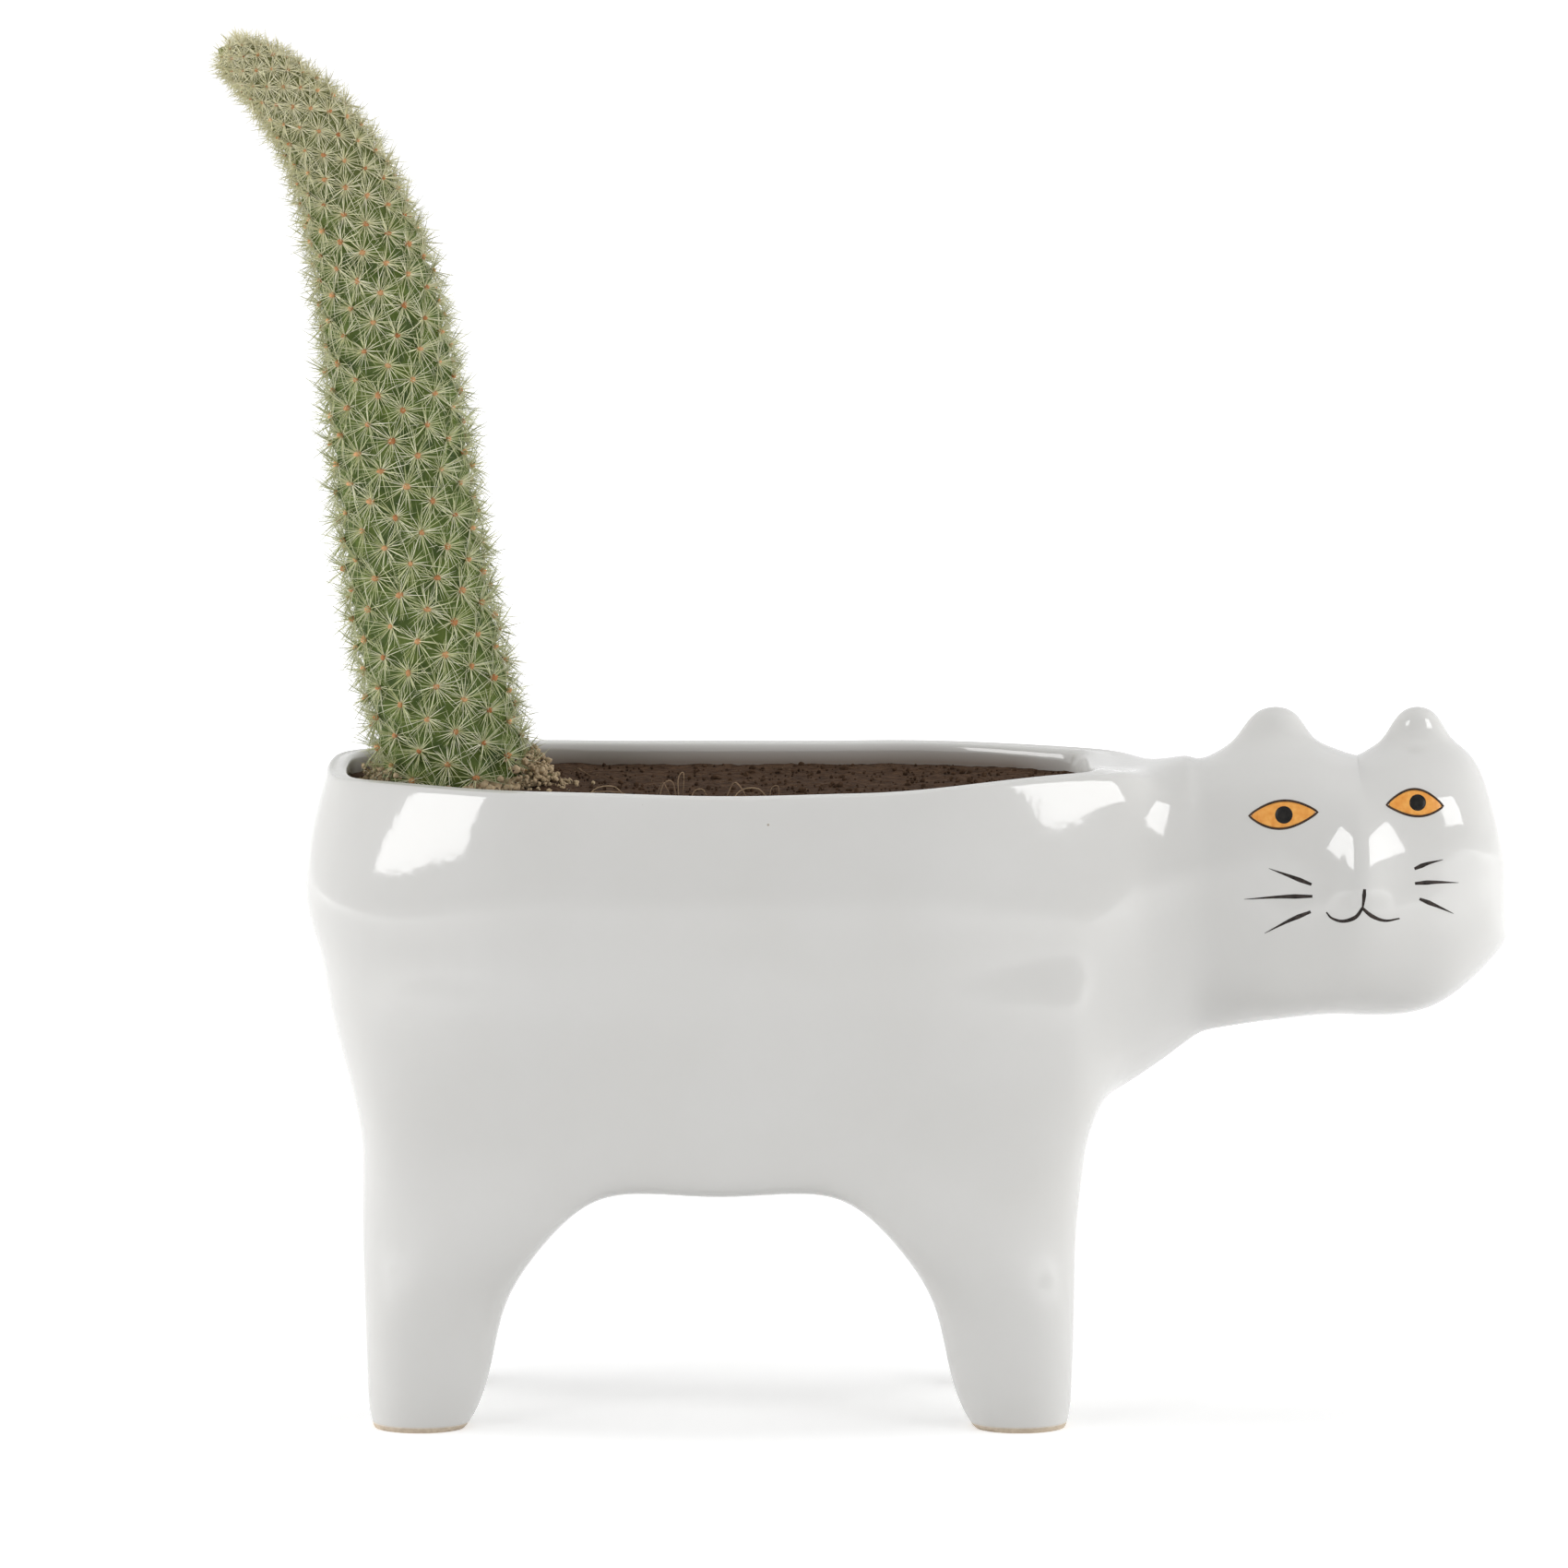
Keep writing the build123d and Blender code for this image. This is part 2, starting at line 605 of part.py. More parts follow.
def cactus_spines():
    """Thin faceted sleeve round the stem with a spine on every facet of its outer side."""
    line = stem_line()
    start = (SOCKET_DEPTH + MOUND_RISE + SLEEVE_CLEARANCE) / line.length
    rings = {"inner": [], "outer": []}
    for row in range(SLEEVE_ROWS + 1):
        along = start + (1 - start) * row / SLEEVE_ROWS
        inner = (stem_radius(along) + SLEEVE_GAP) / cos(pi / SLEEVE_SIDES)
        rings["inner"].append(ring_round(line, along, inner, SLEEVE_SIDES))
        rings["outer"].append(ring_round(line, along, inner + SLEEVE_WALL, SLEEVE_SIDES))
    faces = []
    for layer, stack in rings.items():
        for low, high in zip(stack, stack[1:]):
            for side in range(SLEEVE_SIDES):
                after = (side + 1) % SLEEVE_SIDES
                for corners in ((low[side], low[after], high[after]), (low[side], high[after], high[side])):
                    faces += spine_facet(*corners) if layer == "outer" else [facet(*corners)]
        ahead = line.tangent_at(1)
        tip = line.position_at(1) + ahead * (STEM_TIP_REACH + (SLEEVE_WALL if layer == "outer" else 0))
        top = stack[-1]
        faces += [facet(top[side], top[(side + 1) % SLEEVE_SIDES], tip) for side in range(SLEEVE_SIDES)]
    inner, outer = rings["inner"][0], rings["outer"][0]
    for side in range(SLEEVE_SIDES):
        after = (side + 1) % SLEEVE_SIDES
        faces.append(facet(inner[side], inner[after], outer[after], outer[side]))
    return Solid(Shell(faces))


def almond(length, opening):
    """Almond outline of an eye, drawn across the face and up."""
    half = length / 2
    rise = opening / 2
    upper = ThreePointArc((-half, 0), (0, rise), (half, 0))
    lower = ThreePointArc((half, 0), (0, -rise), (-half, 0))
    return make_face([upper, lower])


def stroke(*spots):
    """Brush line of even width with round ends, through points across the face and up."""
    line = Line(*spots) if len(spots) == 2 else Spline(*spots)
    return trace(line, STROKE)


def punched(drawing, across, up):
    """Block that punches a drawing through the face at a place on it."""
    flat = Plane(origin=(across, -2 * NOSE_REACH, up), x_dir=(1, 0, 0), z_dir=(0, -1, 0))
    return extrude(flat * drawing, amount=-2 * NOSE_REACH)


def eye_drawings(side):
    """Iris, outline and pupil of one eye, each with its place on the face."""
    place = (HEAD_X + EYE_SHIFT + side * EYE_SPACING / 2, head_height(EYE_SHARE) + side * FACE_TILT)
    inner = almond(EYE_LENGTH - 4 * EYE_LINE, EYE_OPENING - 2 * EYE_LINE)
    pupil = Circle(PUPIL_RADIUS)
    outline = almond(EYE_LENGTH, EYE_OPENING) - inner
    return {"iris": (inner - pupil, *place), "outline": (outline, *place), "pupil": (pupil, *place)}


def whisker_drawing(side):
    """Three whiskers fanned out on one cheek."""
    length = WHISKER_LEFT_LENGTH if side > 0 else WHISKER_RIGHT_LENGTH
    strokes = []
    for step in (-1, 0, 1):
        slope = radians(step * WHISKER_FAN)
        start = (side * WHISKER_START, step * WHISKER_STEP)
        end = (start[0] + side * length * cos(slope), start[1] + length * sin(slope))
        strokes.append(stroke(start, end))
    return Sketch() + strokes


def mouth_drawing():
    """Short line down from the nose, with a curl to each side."""
    drawing = stroke((0, MOUTH_RISE), (0, 0))
    for side in (-1, 1):
        middle = (side * MOUTH_HALF / 2, -MOUTH_DIP)
        drawing += stroke((0, 0), middle, (side * MOUTH_HALF, -MOUTH_END))
    return drawing


def face_drawings():
    """All enamel of the face: each node's drawing and its place."""
    drawings = {}
    for side, name in ((1, "left"), (-1, "right")):
        for piece, drawing in eye_drawings(side).items():
            drawings[f"eye_{piece}_{name}"] = drawing
        height = head_height(WHISKER_SHARE) + side * FACE_TILT
        drawings[f"whiskers_{name}"] = (whisker_drawing(side), HEAD_X + MOUTH_SHIFT, height)
    drawings["mouth"] = (mouth_drawing(), HEAD_X + MOUTH_SHIFT, head_height(MOUTH_SHARE))
    return drawings


def enamel(form):
    """Thin inlays of the face, flush with the glaze, by node."""
    front = Pos(HEAD_X, -FACE_REACH, head_height(PLATE_SHARE)) * Box(PLATE_LENGTH, PLATE_DEPTH, PLATE_HEIGHT)
    plate = form & front
    sunk = Pos(0, ENAMEL, 0) * plate
    return {node: (plate & punched(*drawing)) - sunk for node, drawing in face_drawings().items()}


def pieces():
    """Every piece of the planter, by node."""
    form = pot_form()
    inlays = enamel(form)
    body = drained(form)
    for inlay in inlays.values():
        body -= inlay
    fill = fill_form()
    nodes = {"planter_body": body, **inlays}
    nodes["drain_plug"] = drain_plug()
    nodes["drain_mesh"] = drain_mesh()
    nodes["drainage_pebbles"] = fill & slab(0, PEBBLE_TOP)
    nodes["potting_soil"] = (fill & slab(PEBBLE_TOP, SOIL_TOP)) - root_pocket(SEAT_MARGIN)
    nodes["root_ball"] = root_ball()
    nodes["cactus_stem"] = cactus_stem()
    nodes["cactus_spines"] = cactus_spines()
    return nodes


def main():
    os.makedirs("parts", exist_ok=True)
    nodes = pieces()
    box = Compound(children=[Compound([node]) for node in nodes.values()]).bounding_box()
    place = Pos(-box.center().X, -box.center().Y, -box.min.Z)
    for name, node in nodes.items():
        export_step(place * node, f"parts/{name}.step")


main()
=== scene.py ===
import math
import bmesh
import bpy
import numpy as np
from mathutils import Matrix, Vector, noise
from mathutils.bvhtree import BVHTree
from mathutils.kdtree import KDTree


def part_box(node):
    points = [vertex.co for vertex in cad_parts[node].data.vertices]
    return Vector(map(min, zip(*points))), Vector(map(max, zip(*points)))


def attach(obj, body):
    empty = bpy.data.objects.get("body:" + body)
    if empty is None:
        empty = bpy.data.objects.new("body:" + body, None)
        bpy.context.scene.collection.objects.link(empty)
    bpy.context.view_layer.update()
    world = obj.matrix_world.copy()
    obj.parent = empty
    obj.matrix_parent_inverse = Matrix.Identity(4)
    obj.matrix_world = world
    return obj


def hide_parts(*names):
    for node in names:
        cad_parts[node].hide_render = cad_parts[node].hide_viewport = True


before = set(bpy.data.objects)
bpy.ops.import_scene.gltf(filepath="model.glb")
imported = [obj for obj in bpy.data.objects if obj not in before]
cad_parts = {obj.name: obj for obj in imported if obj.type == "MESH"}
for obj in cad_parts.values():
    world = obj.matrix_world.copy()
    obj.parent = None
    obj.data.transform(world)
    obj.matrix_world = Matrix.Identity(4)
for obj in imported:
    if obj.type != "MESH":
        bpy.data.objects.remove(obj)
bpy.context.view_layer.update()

# Lengths below are millimetres in the drawing frame of the cat: X from rump to head, the face
# looks along -Y, Z up, and the zero point on the ground midway between the feet.
plug_low, plug_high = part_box("drain_plug")
ZERO = np.array([(plug_low.x + plug_high.x) / 2, (plug_low.y + plug_high.y) / 2, 0.0])
MM = 0.001
rng = np.random.default_rng(20)


def row(points):
    """Drawing millimetres to metres in the row frame."""
    return np.asarray(points, float) * MM + ZERO


# Camera, as it stood for the photo
PITCH = math.radians(8.6)
SCALE = 5.43
DISTANCE = 3000.0
IMAGE = 1700
CENTRE_X = (IMAGE / 2 - 780.5) / SCALE
CENTRE_Z = (1526 - IMAGE / 2) / SCALE / math.cos(PITCH)
camera = bpy.data.objects.new("camera", bpy.data.cameras.new("camera"))
bpy.context.scene.collection.objects.link(camera)
bpy.context.scene.camera = camera
aim = np.array([CENTRE_X, 0.0, CENTRE_Z])
back = np.array([0.0, -math.cos(PITCH), math.sin(PITCH)])
eye = aim + back * DISTANCE
right = np.array([1.0, 0.0, 0.0])
up = np.cross(back, right)
camera.matrix_world = Matrix.Translation(row(eye)) @ Matrix((right, up, back)).transposed().to_4x4()
camera.data.sensor_width = 36.0
camera.data.lens = SCALE * DISTANCE * 36.0 / IMAGE
camera.data.clip_start = 0.1
camera.data.clip_end = 50.0


def through(px, py):
    """Direction from the camera through a spot of the 1700 x 1700 picture."""
    ray = -back * DISTANCE + right * (px - IMAGE / 2) / SCALE + up * (IMAGE / 2 - py) / SCALE
    return ray / np.linalg.norm(ray)


# Materials
class Nodes:
    """Short way to build a material of nodes."""

    def __init__(self, name):
        self.material = bpy.data.materials.new(name)
        self.material.use_nodes = True
        self.tree = self.material.node_tree
        self.shader = self.tree.nodes["Principled BSDF"]
        self.texture = self.add("ShaderNodeTexCoord")
        self.coordinates = self.texture.outputs["Object"]

    def add(self, kind, **values):
        node = self.tree.nodes.new(kind)
        for key, value in values.items():
            setattr(node, key, value)
        return node

    def link(self, output, target):
        self.tree.links.new(output, target)

    def noise(self, scale, detail=3.0, rough=0.55, where=None):
        node = self.add("ShaderNodeTexNoise")
        node.inputs["Scale"].default_value = scale
        node.inputs["Detail"].default_value = detail
        node.inputs["Roughness"].default_value = rough
        self.link(where or self.coordinates, node.inputs["Vector"])
        return node.outputs["Fac"]

    def cells(self, scale, feature="F1"):
        node = self.add("ShaderNodeTexVoronoi", feature=feature)
        node.inputs["Scale"].default_value = scale
        self.link(self.coordinates, node.inputs["Vector"])
        return node

    def ramp(self, factor, *stops):
        node = self.add("ShaderNodeValToRGB")
        elements = node.color_ramp.elements
        while len(elements) < len(stops):
            elements.new(0.5)
        for element, (position, colour) in zip(elements, stops):
            element.position = position
            element.color = (*colour, 1.0)
        self.link(factor, node.inputs["Fac"])
        return node.outputs["Color"]

    def mix(self, factor, first, second):
        node = self.add("ShaderNodeMix", data_type="RGBA")
        for value, target in ((factor, node.inputs[0]), (first, node.inputs[6]), (second, node.inputs[7])):
            if isinstance(value, (float, int)):
                target.default_value = value
            elif isinstance(value, tuple):
                target.default_value = (*value, 1.0)
            else:
                self.link(value, target)
        return node.outputs[2]

    def span(self, value, from_low, from_high, to_low=0.0, to_high=1.0):
        node = self.add("ShaderNodeMapRange")
        for socket, number in zip(list(node.inputs)[1:5], (from_low, from_high, to_low, to_high)):
            socket.default_value = number
        self.link(value, node.inputs[0])
        return node.outputs[0]

    def times(self, first, second):
        node = self.add("ShaderNodeMath", operation="MULTIPLY")
        self.link(first, node.inputs[0])
        if isinstance(second, float):
            node.inputs[1].default_value = second
        else:
            self.link(second, node.inputs[1])
        return node.outputs[0]

    def height(self):
        node = self.add("ShaderNodeSeparateXYZ")
        self.link(self.coordinates, node.inputs[0])
        return node.outputs["Z"]

    def bump(self, height, strength, distance):
        node = self.add("ShaderNodeBump")
        node.inputs["Strength"].default_value = strength
        node.inputs["Distance"].default_value = distance
        self.link(height, node.inputs["Height"])
        self.link(node.outputs["Normal"], self.shader.inputs["Normal"])

    def set(self, **values):
        for key, value in values.items():
            socket = self.shader.inputs[key.replace("_", " ")]
            if isinstance(value, bpy.types.NodeSocket):
                self.link(value, socket)
            elif isinstance(value, tuple):
                socket.default_value = (*value, 1.0)
            else:
                socket.default_value = value
        return self.material


def glaze_material():
    """Warm white glaze with faint clouds and pinholes, bare clay at the soles, painted brownish shade on the inner
    wall above the soil.
    """
    n = Nodes("white_glaze")
    cloud = n.ramp(n.noise(28.0, 4.0), (0.3, (0.675, 0.668, 0.645)), (0.7, (0.70, 0.695, 0.677)))
    specks = n.cells(95.0)
    pinhole = n.span(specks.outputs["Distance"], 0.018, 0.03, 1.0, 0.0)
    rare = n.span(n.noise(60.0, 0.0), 0.66, 0.68)
    glazed = n.mix(n.times(pinhole, rare), cloud, (0.42, 0.37, 0.31))
    # Painted brownish shade on the inner wall above the soil, strongest next to the soil.
    painted_shade = n.mix(n.times(inner_wall_shade(n), 0.8), glazed, (0.27, 0.205, 0.16))
    clay_edge = n.span(n.height(), 0.0009, 0.0014, 1.0, 0.0)
    clay = n.ramp(n.noise(900.0, 4.0), (0.35, (0.55, 0.45, 0.34)), (0.7, (0.70, 0.60, 0.47)))
    n.bump(n.noise(100.0, 3.0), 0.06, 0.0016)
    rough = n.span(clay_edge, 0.0, 1.0, 0.075, 0.75)
    return n.set(Base_Color=n.mix(clay_edge, painted_shade, clay), Roughness=rough, IOR=1.75)


def inner_wall_shade(n):
    """Mask of the painted shade on the wall above the soil: faces that look inwards, stronger towards the soil."""
    place = n.add("ShaderNodeSeparateXYZ")
    n.link(n.coordinates, place.inputs[0])
    facing = n.add("ShaderNodeSeparateXYZ")
    n.link(n.texture.outputs["Normal"], facing.inputs[0])
    inwards = n.span(n.times(place.outputs["Y"], facing.outputs["Y"]), -0.004, -0.014)
    low = n.span(place.outputs["Z"], 0.1258, 0.1296, 1.0, 0.0)
    over = n.span(place.outputs["Z"], 0.112, 0.114)
    trunk = n.span(place.outputs["X"], 0.03, 0.045, 1.0, 0.0)
    return n.times(n.times(inwards, low), n.times(over, trunk))


def enamel_material(name, dark, light, scale, shine=0.4):
    """Fired-on enamel with the uneven depth of a brushed coat."""
    n = Nodes(name)
    colour = n.ramp(n.noise(scale, 4.0), (0.32, dark), (0.68, light))
    n.bump(n.noise(scale * 3.0, 2.0), 0.12, 0.0002)
    return n.set(Base_Color=colour, Roughness=0.2, Specular_IOR_Level=shine)


def soil_material():
    """Dark damp potting soil with lighter fibres and dark grains."""
    n = Nodes("soil")
    damp, dry, crumbly = (0.024, 0.0125, 0.007), (0.07, 0.039, 0.022), (0.12, 0.073, 0.043)
    base = n.ramp(n.noise(420.0, 6.0, 0.7), (0.3, damp), (0.6, dry), (0.8, crumbly))
    grain = n.cells(800.0)
    fleck = n.span(n.noise(1500.0, 2.0), 0.68, 0.76)
    colour = n.mix(fleck, base, (0.22, 0.15, 0.09))
    n.bump(grain.outputs["Distance"], 0.6, 0.0008)
    return n.set(Base_Color=colour, Roughness=0.92, Specular_IOR_Level=0.15)


def clump_material():
    """Pale crumbly root ball, sand and fibre with dark grit."""
    n = Nodes("root_clump")
    base = n.ramp(n.noise(650.0, 6.0, 0.7), (0.25, (0.19, 0.13, 0.075)), (0.5, (0.46, 0.35, 0.215)), (0.78, (0.68, 0.56, 0.38)))
    grit = n.span(n.noise(1100.0, 1.0), 0.64, 0.70)
    n.bump(n.cells(1200.0).outputs["Distance"], 0.5, 0.0006)
    return n.set(Base_Color=n.mix(grit, base, (0.03, 0.02, 0.015)), Roughness=0.95)


def flesh_material():
    """Green cactus flesh: deep to light green in random patches, paler and creamier at the tip."""
    n = Nodes("cactus_flesh")
    deep, middle, light = (0.036, 0.063, 0.010), (0.09, 0.135, 0.022), (0.155, 0.20, 0.042)
    green = n.ramp(n.noise(260.0, 4.0), (0.3, deep), (0.55, middle), (0.8, light))
    tip = n.span(n.height(), 0.235, 0.28, 0.0, 0.8)
    colour = n.mix(tip, green, (0.24, 0.23, 0.10))
    n.bump(n.noise(1800.0, 3.0), 0.25, 0.0003)
    return n.set(Base_Color=colour, Roughness=0.55, Specular_IOR_Level=0.3)


def spine_material(name, dark, light, tip_light):
    """Pale horny spines, each a little different."""
    n = Nodes(name)
    island = n.add("ShaderNodeNewGeometry").outputs["Random Per Island"]
    colour = n.ramp(island, (0.0, dark), (0.55, light), (1.0, tip_light))
    tip = n.span(n.height(), 0.2, 0.275, 0.0, 0.6)
    n.bump(n.noise(3000.0, 2.0), 0.1, 0.0001)
    return n.set(Base_Color=n.mix(tip, colour, (0.84, 0.78, 0.57)), Roughness=0.45)


def fibre_material(name, dark, light):
    """Dry straw and wool fibres."""
    n = Nodes(name)
    island = n.add("ShaderNodeNewGeometry").outputs["Random Per Island"]
    n.bump(n.noise(2500.0, 3.0), 0.3, 0.0002)
    return n.set(Base_Color=n.ramp(island, (0.0, dark), (1.0, light)), Roughness=0.85)


def moulded_material(name, dark, light, rough):
    """Fine-grained moulded plastic or rubber."""
    n = Nodes(name)
    colour = n.ramp(n.noise(300.0, 3.0), (0.35, dark), (0.65, light))
    n.bump(n.noise(4000.0, 2.0), 0.15, 0.0002)
    return n.set(Base_Color=colour, Roughness=rough)


def pebble_material():
    """Fired clay pebbles, with painted shade in the gaps between them."""
    n = Nodes("clay_pebbles")
    cell = n.cells(130.0)
    # Each cell darkens towards its edge: painted shade in the gaps between the pebbles.
    colour = n.ramp(cell.outputs["Distance"], (0.2, (0.33, 0.15, 0.08)), (0.7, (0.16, 0.07, 0.04)))
    n.bump(cell.outputs["Distance"], 0.8, 0.003)
    return n.set(Base_Color=colour, Roughness=0.9)


GLAZE = glaze_material()
AMBER = enamel_material("amber_enamel", (0.80, 0.30, 0.045), (0.93, 0.45, 0.10), 700.0)
BLACK = enamel_material("black_enamel", (0.006, 0.006, 0.006), (0.02, 0.018, 0.016), 900.0, 0.15)
DARK = enamel_material("dark_enamel", (0.012, 0.009, 0.008), (0.05, 0.038, 0.032), 900.0, 0.15)
LINE = enamel_material("eye_line_enamel", (0.03, 0.018, 0.012), (0.085, 0.05, 0.03), 900.0, 0.15)
SOIL = soil_material()
CLUMP = clump_material()
FLESH = flesh_material()
SPINE = spine_material("cactus_spines", (0.50, 0.53, 0.26), (0.70, 0.71, 0.45), (0.88, 0.86, 0.69))
AREOLE = fibre_material("areole_wool", (0.44, 0.17, 0.06), (0.72, 0.40, 0.20))
STRAW = fibre_material("straw", (0.16, 0.10, 0.06), (0.36, 0.26, 0.16))
PEBBLE = pebble_material()
RUBBER = moulded_material("plug_rubber", (0.58, 0.58, 0.55), (0.66, 0.66, 0.63), 0.6)
MESH = moulded_material("mesh_plastic", (0.012, 0.012, 0.012), (0.03, 0.03, 0.03), 0.5)


def add_piece(name, points, faces, body, material, slot, nodes=(), smooth=True):
    """New mesh piece from drawing points, riding on a body and standing for CAD nodes."""
    mesh = bpy.data.meshes.new(name)
    mesh.from_pydata(row(points).tolist(), [], [tuple(int(i) for i in face) for face in faces])
    work = bmesh.new()
    work.from_mesh(mesh)
    bmesh.ops.recalc_face_normals(work, faces=work.faces)
    work.to_mesh(mesh)
    work.free()
    return add_object(name, mesh, body, material, nodes, smooth)


def add_object(name, mesh, body, material, nodes=(), smooth=True):
    piece = bpy.data.objects.new(name, mesh)
    bpy.context.scene.collection.objects.link(piece)
    mesh.materials.clear()
    mesh.materials.append(material)
    mesh.polygons.foreach_set("use_smooth", [smooth] * len(mesh.polygons))
    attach(piece, body)
    if nodes:
        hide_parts(*nodes)
    return piece


# Body: the same control cells as the solid, subdivided, with the face worked up
class Cage:
    """Control cells of a subdivision surface that passes through its named points."""

    def __init__(self):
        self.index = {}
        self.points = []
        self.cells = []

    def put(self, key, x, y, z):
        self.index[key] = len(self.points)
        self.points.append((x, y, z))
        return key

    def cell(self, *keys):
        self.cells.append([self.index[key] for key in keys])

    def band(self, low, high):
        for a, b, c, d in zip(low, low[1:] + low[:1], high[1:] + high[:1], high):
            self.cell(a, b, c, d)

    def control_points(self):
        """Control points whose limit surface meets the named points."""
        count = len(self.points)
        matrix = np.zeros((count, count))
        share = np.zeros(count)
        for cell in self.cells:
            for vertex in cell:
                share[vertex] += 1
        for cell in self.cells:
            for corner, vertex in enumerate(cell):
                valence = share[vertex]
                weights = ((0, valence), (-1, 2), (-3, 2), (-2, 1))
                for step, weight in weights:
                    matrix[vertex, cell[corner + step]] += weight / (valence + 5) / valence
        return np.linalg.solve(matrix, np.array(self.points))

    def subdivided(self, levels):
        mesh = bpy.data.meshes.new("cage")
        mesh.from_pydata(self.control_points().tolist(), [], self.cells)
        holder = bpy.data.objects.new("cage", mesh)
        bpy.context.scene.collection.objects.link(holder)
        modifier = holder.modifiers.new("smooth", "SUBSURF")
        modifier.levels = levels
        modifier.render_levels = levels
        graph = bpy.context.evaluated_depsgraph_get()
        smooth = bpy.data.meshes.new_from_object(holder.evaluated_get(graph))
        bpy.data.objects.remove(holder)
        bpy.data.meshes.remove(mesh)
        points = np.zeros(len(smooth.vertices) * 3)
        smooth.vertices.foreach_get("co", points)
        faces = [tuple(polygon.vertices) for polygon in smooth.polygons]
        bpy.data.meshes.remove(smooth)
        return points.reshape(-1, 3), faces


WALL = 5.0
RIM_HEIGHT = 129.5
LIP_DROP = 2.4
BELLY_HEIGHT = 47.0
COLUMN_STEP = 22.0
MIDDLE_ROW = 13.0
# height, rear reach, front reach, half depth and corner radius of the trunk's outlines
HIP = (58.0, 71.6, 73.6, 35.5, 17.5)
FLANK = (80.0, 77.0, 81.0, 38.0, 26.0)
WAIST = (94.5, 79.8, 82.5, 38.0, 29.25)
RUMP = (109.0, 82.6, 84.0, 38.0, 32.5)
LIP = (RIM_HEIGHT - LIP_DROP, 78.5, 82.5, 35.2, 32.5)
RIM = (RIM_HEIGHT, 78.5, 82.5, 35.2, 32.5)
AROUND = [(i, 0) for i in range(7)] + [(6, 1), (6, 2)] + [(i, 3) for i in range(6, -1, -1)] + [(0, 2), (0, 1)]
LEG_CELLS = [(0, 0), (5, 0), (5, 2), (0, 2)]
SQUARE = ((-1, -1), (1, -1), (1, 1), (-1, 1))


def outline_spot(i, j, rear, front, half, corner, shrink):
    x = {0: shrink - rear, 6: front - shrink}.get(i, (i - 3) * COLUMN_STEP)
    y = {0: shrink - half, 3: half - shrink}.get(j, MIDDLE_ROW if j == 2 else -MIDDLE_ROW)
    if i in (0, 6) and j in (0, 3):
        inset = (corner - shrink) * (1 - math.cos(math.radians(45)))
        x += inset if i == 0 else -inset
        y += inset if j == 0 else -inset
    return x, y


def trunk_ring(cage, level, sizes, shrink=0.0):
    height, *outline = sizes
    return [cage.put((level, i, j), *outline_spot(i, j, *outline, shrink), height) for i, j in AROUND]


def belly(cage):
    inner_x, inner_y, outer_x, outer_y, tuck, swell_y = 38.9, 12.8, 71.0, 33.2, 2.6, 1.8
    for i in range(7):
        for j in range(4):
            sx, sy = (-1 if i < 3 else 1), (-1 if j < 2 else 1)
            edge = j in (0, 3)
            if i in (2, 3, 4):
                spot = ((i - 3) * COLUMN_STEP, sy * (31.0 if edge else MIDDLE_ROW), BELLY_HEIGHT + 0.8 * edge)
            elif i in (1, 5):
                spot = (sx * inner_x, sy * (outer_y + swell_y if edge else inner_y), 38.5)
            elif edge:
                spot = (sx * (outer_x - 5.1), sy * (outer_y - 5.1 + swell_y), 40.0)
            else:
                spot = (sx * (outer_x - tuck), sy * inner_y, 40.0)
            cage.put(("belly", i, j), *spot)


def leg(cage, corner):
    i, j = corner
    sx, sy = (-1 if i < 3 else 1), (-1 if j < 2 else 1)
    above = [("belly", i, j), ("belly", i + 1, j), ("belly", i + 1, j + 1), ("belly", i, j + 1)]
    # height, length, width and shift towards the middle of each ring, downwards
    for level, (height, length, width, shift) in enumerate(((24.0, 28.6, 22.0, 3.5), (9.0, 24.4, 20.4, 1.9), (-2.0, 15.1, 13.9, 0.0))):
        ring = []
        for step_x, step_y in SQUARE:
            x = sx * (60.2 - shift) + step_x * length / 2 * math.cos(math.radians(45))
            y = sy * 23.0 + step_y * width / 2 * math.cos(math.radians(45))
            ring.append(cage.put((corner, level, step_x, step_y), x, y, height))
        cage.band(ring, above)
        above = ring
    cage.cell(*reversed(above))


def share_height(share):
    """Height at a share of the way from the hip to the rim."""
    return HIP[0] + share * (RIM_HEIGHT - HIP[0])


FACE_REACH, NOSE_REACH, NAPE_REACH = 23.5, 26.5, 25.0
CHIN_HALF, CROWN_FRONT, CROWN_BACK = 15.4, 18.0, 12.6
NOSE_X = 127.0
# Rings of the head: distance from the nose and of the top, shares of the underside and top, size
HEAD_RINGS = {
    "neck": (-34.0, -34.0, 0.28, 0.98, 0.86),
    "jaw": (-26.5, -27.5, 0.318, 0.99, 0.835),
    "cheek": (-9.5, -4.5, 0.348, 1.0, 1.0),
    "nose": (0.0, 0.0, 0.35, 0.985, 1.0),
    "other_cheek": (12.0, 4.0, 0.36, 1.0, 0.985),
    "temple": (22.5, 23.0, 0.43, 0.965, 0.8),
    "end": (29.3, 29.3, 0.51, 0.77, 0.4),
}
# Rings of an ear: rise above the rim, half length and half width
EAR_RINGS = ((5.5, 5.9, 5.2), (10.6, 2.9, 2.6))


def head_ring(cage, name, x, top_x, low_share, high_share, size):
    low, high = share_height(low_share), share_height(high_share)
    lower = ((low + high) / 2 + share_height(0.52)) / 2
    upper = ((low + high) / 2 + share_height(0.78)) / 2
    front = NOSE_REACH if name == "nose" else FACE_REACH * size
    back, chin = NAPE_REACH * size, CHIN_HALF * size
    x, top_x = NOSE_X + x, NOSE_X + top_x
    spots = [(x, -chin, low), (x, -front, lower), (x, -front, upper), (top_x, -CROWN_FRONT * size, high)]
    spots += [(top_x, CROWN_BACK * size, high), (x, back, upper), (x, back, lower), (x, chin, low)]
    return [cage.put((name, step), *spot) for step, spot in enumerate(spots)]


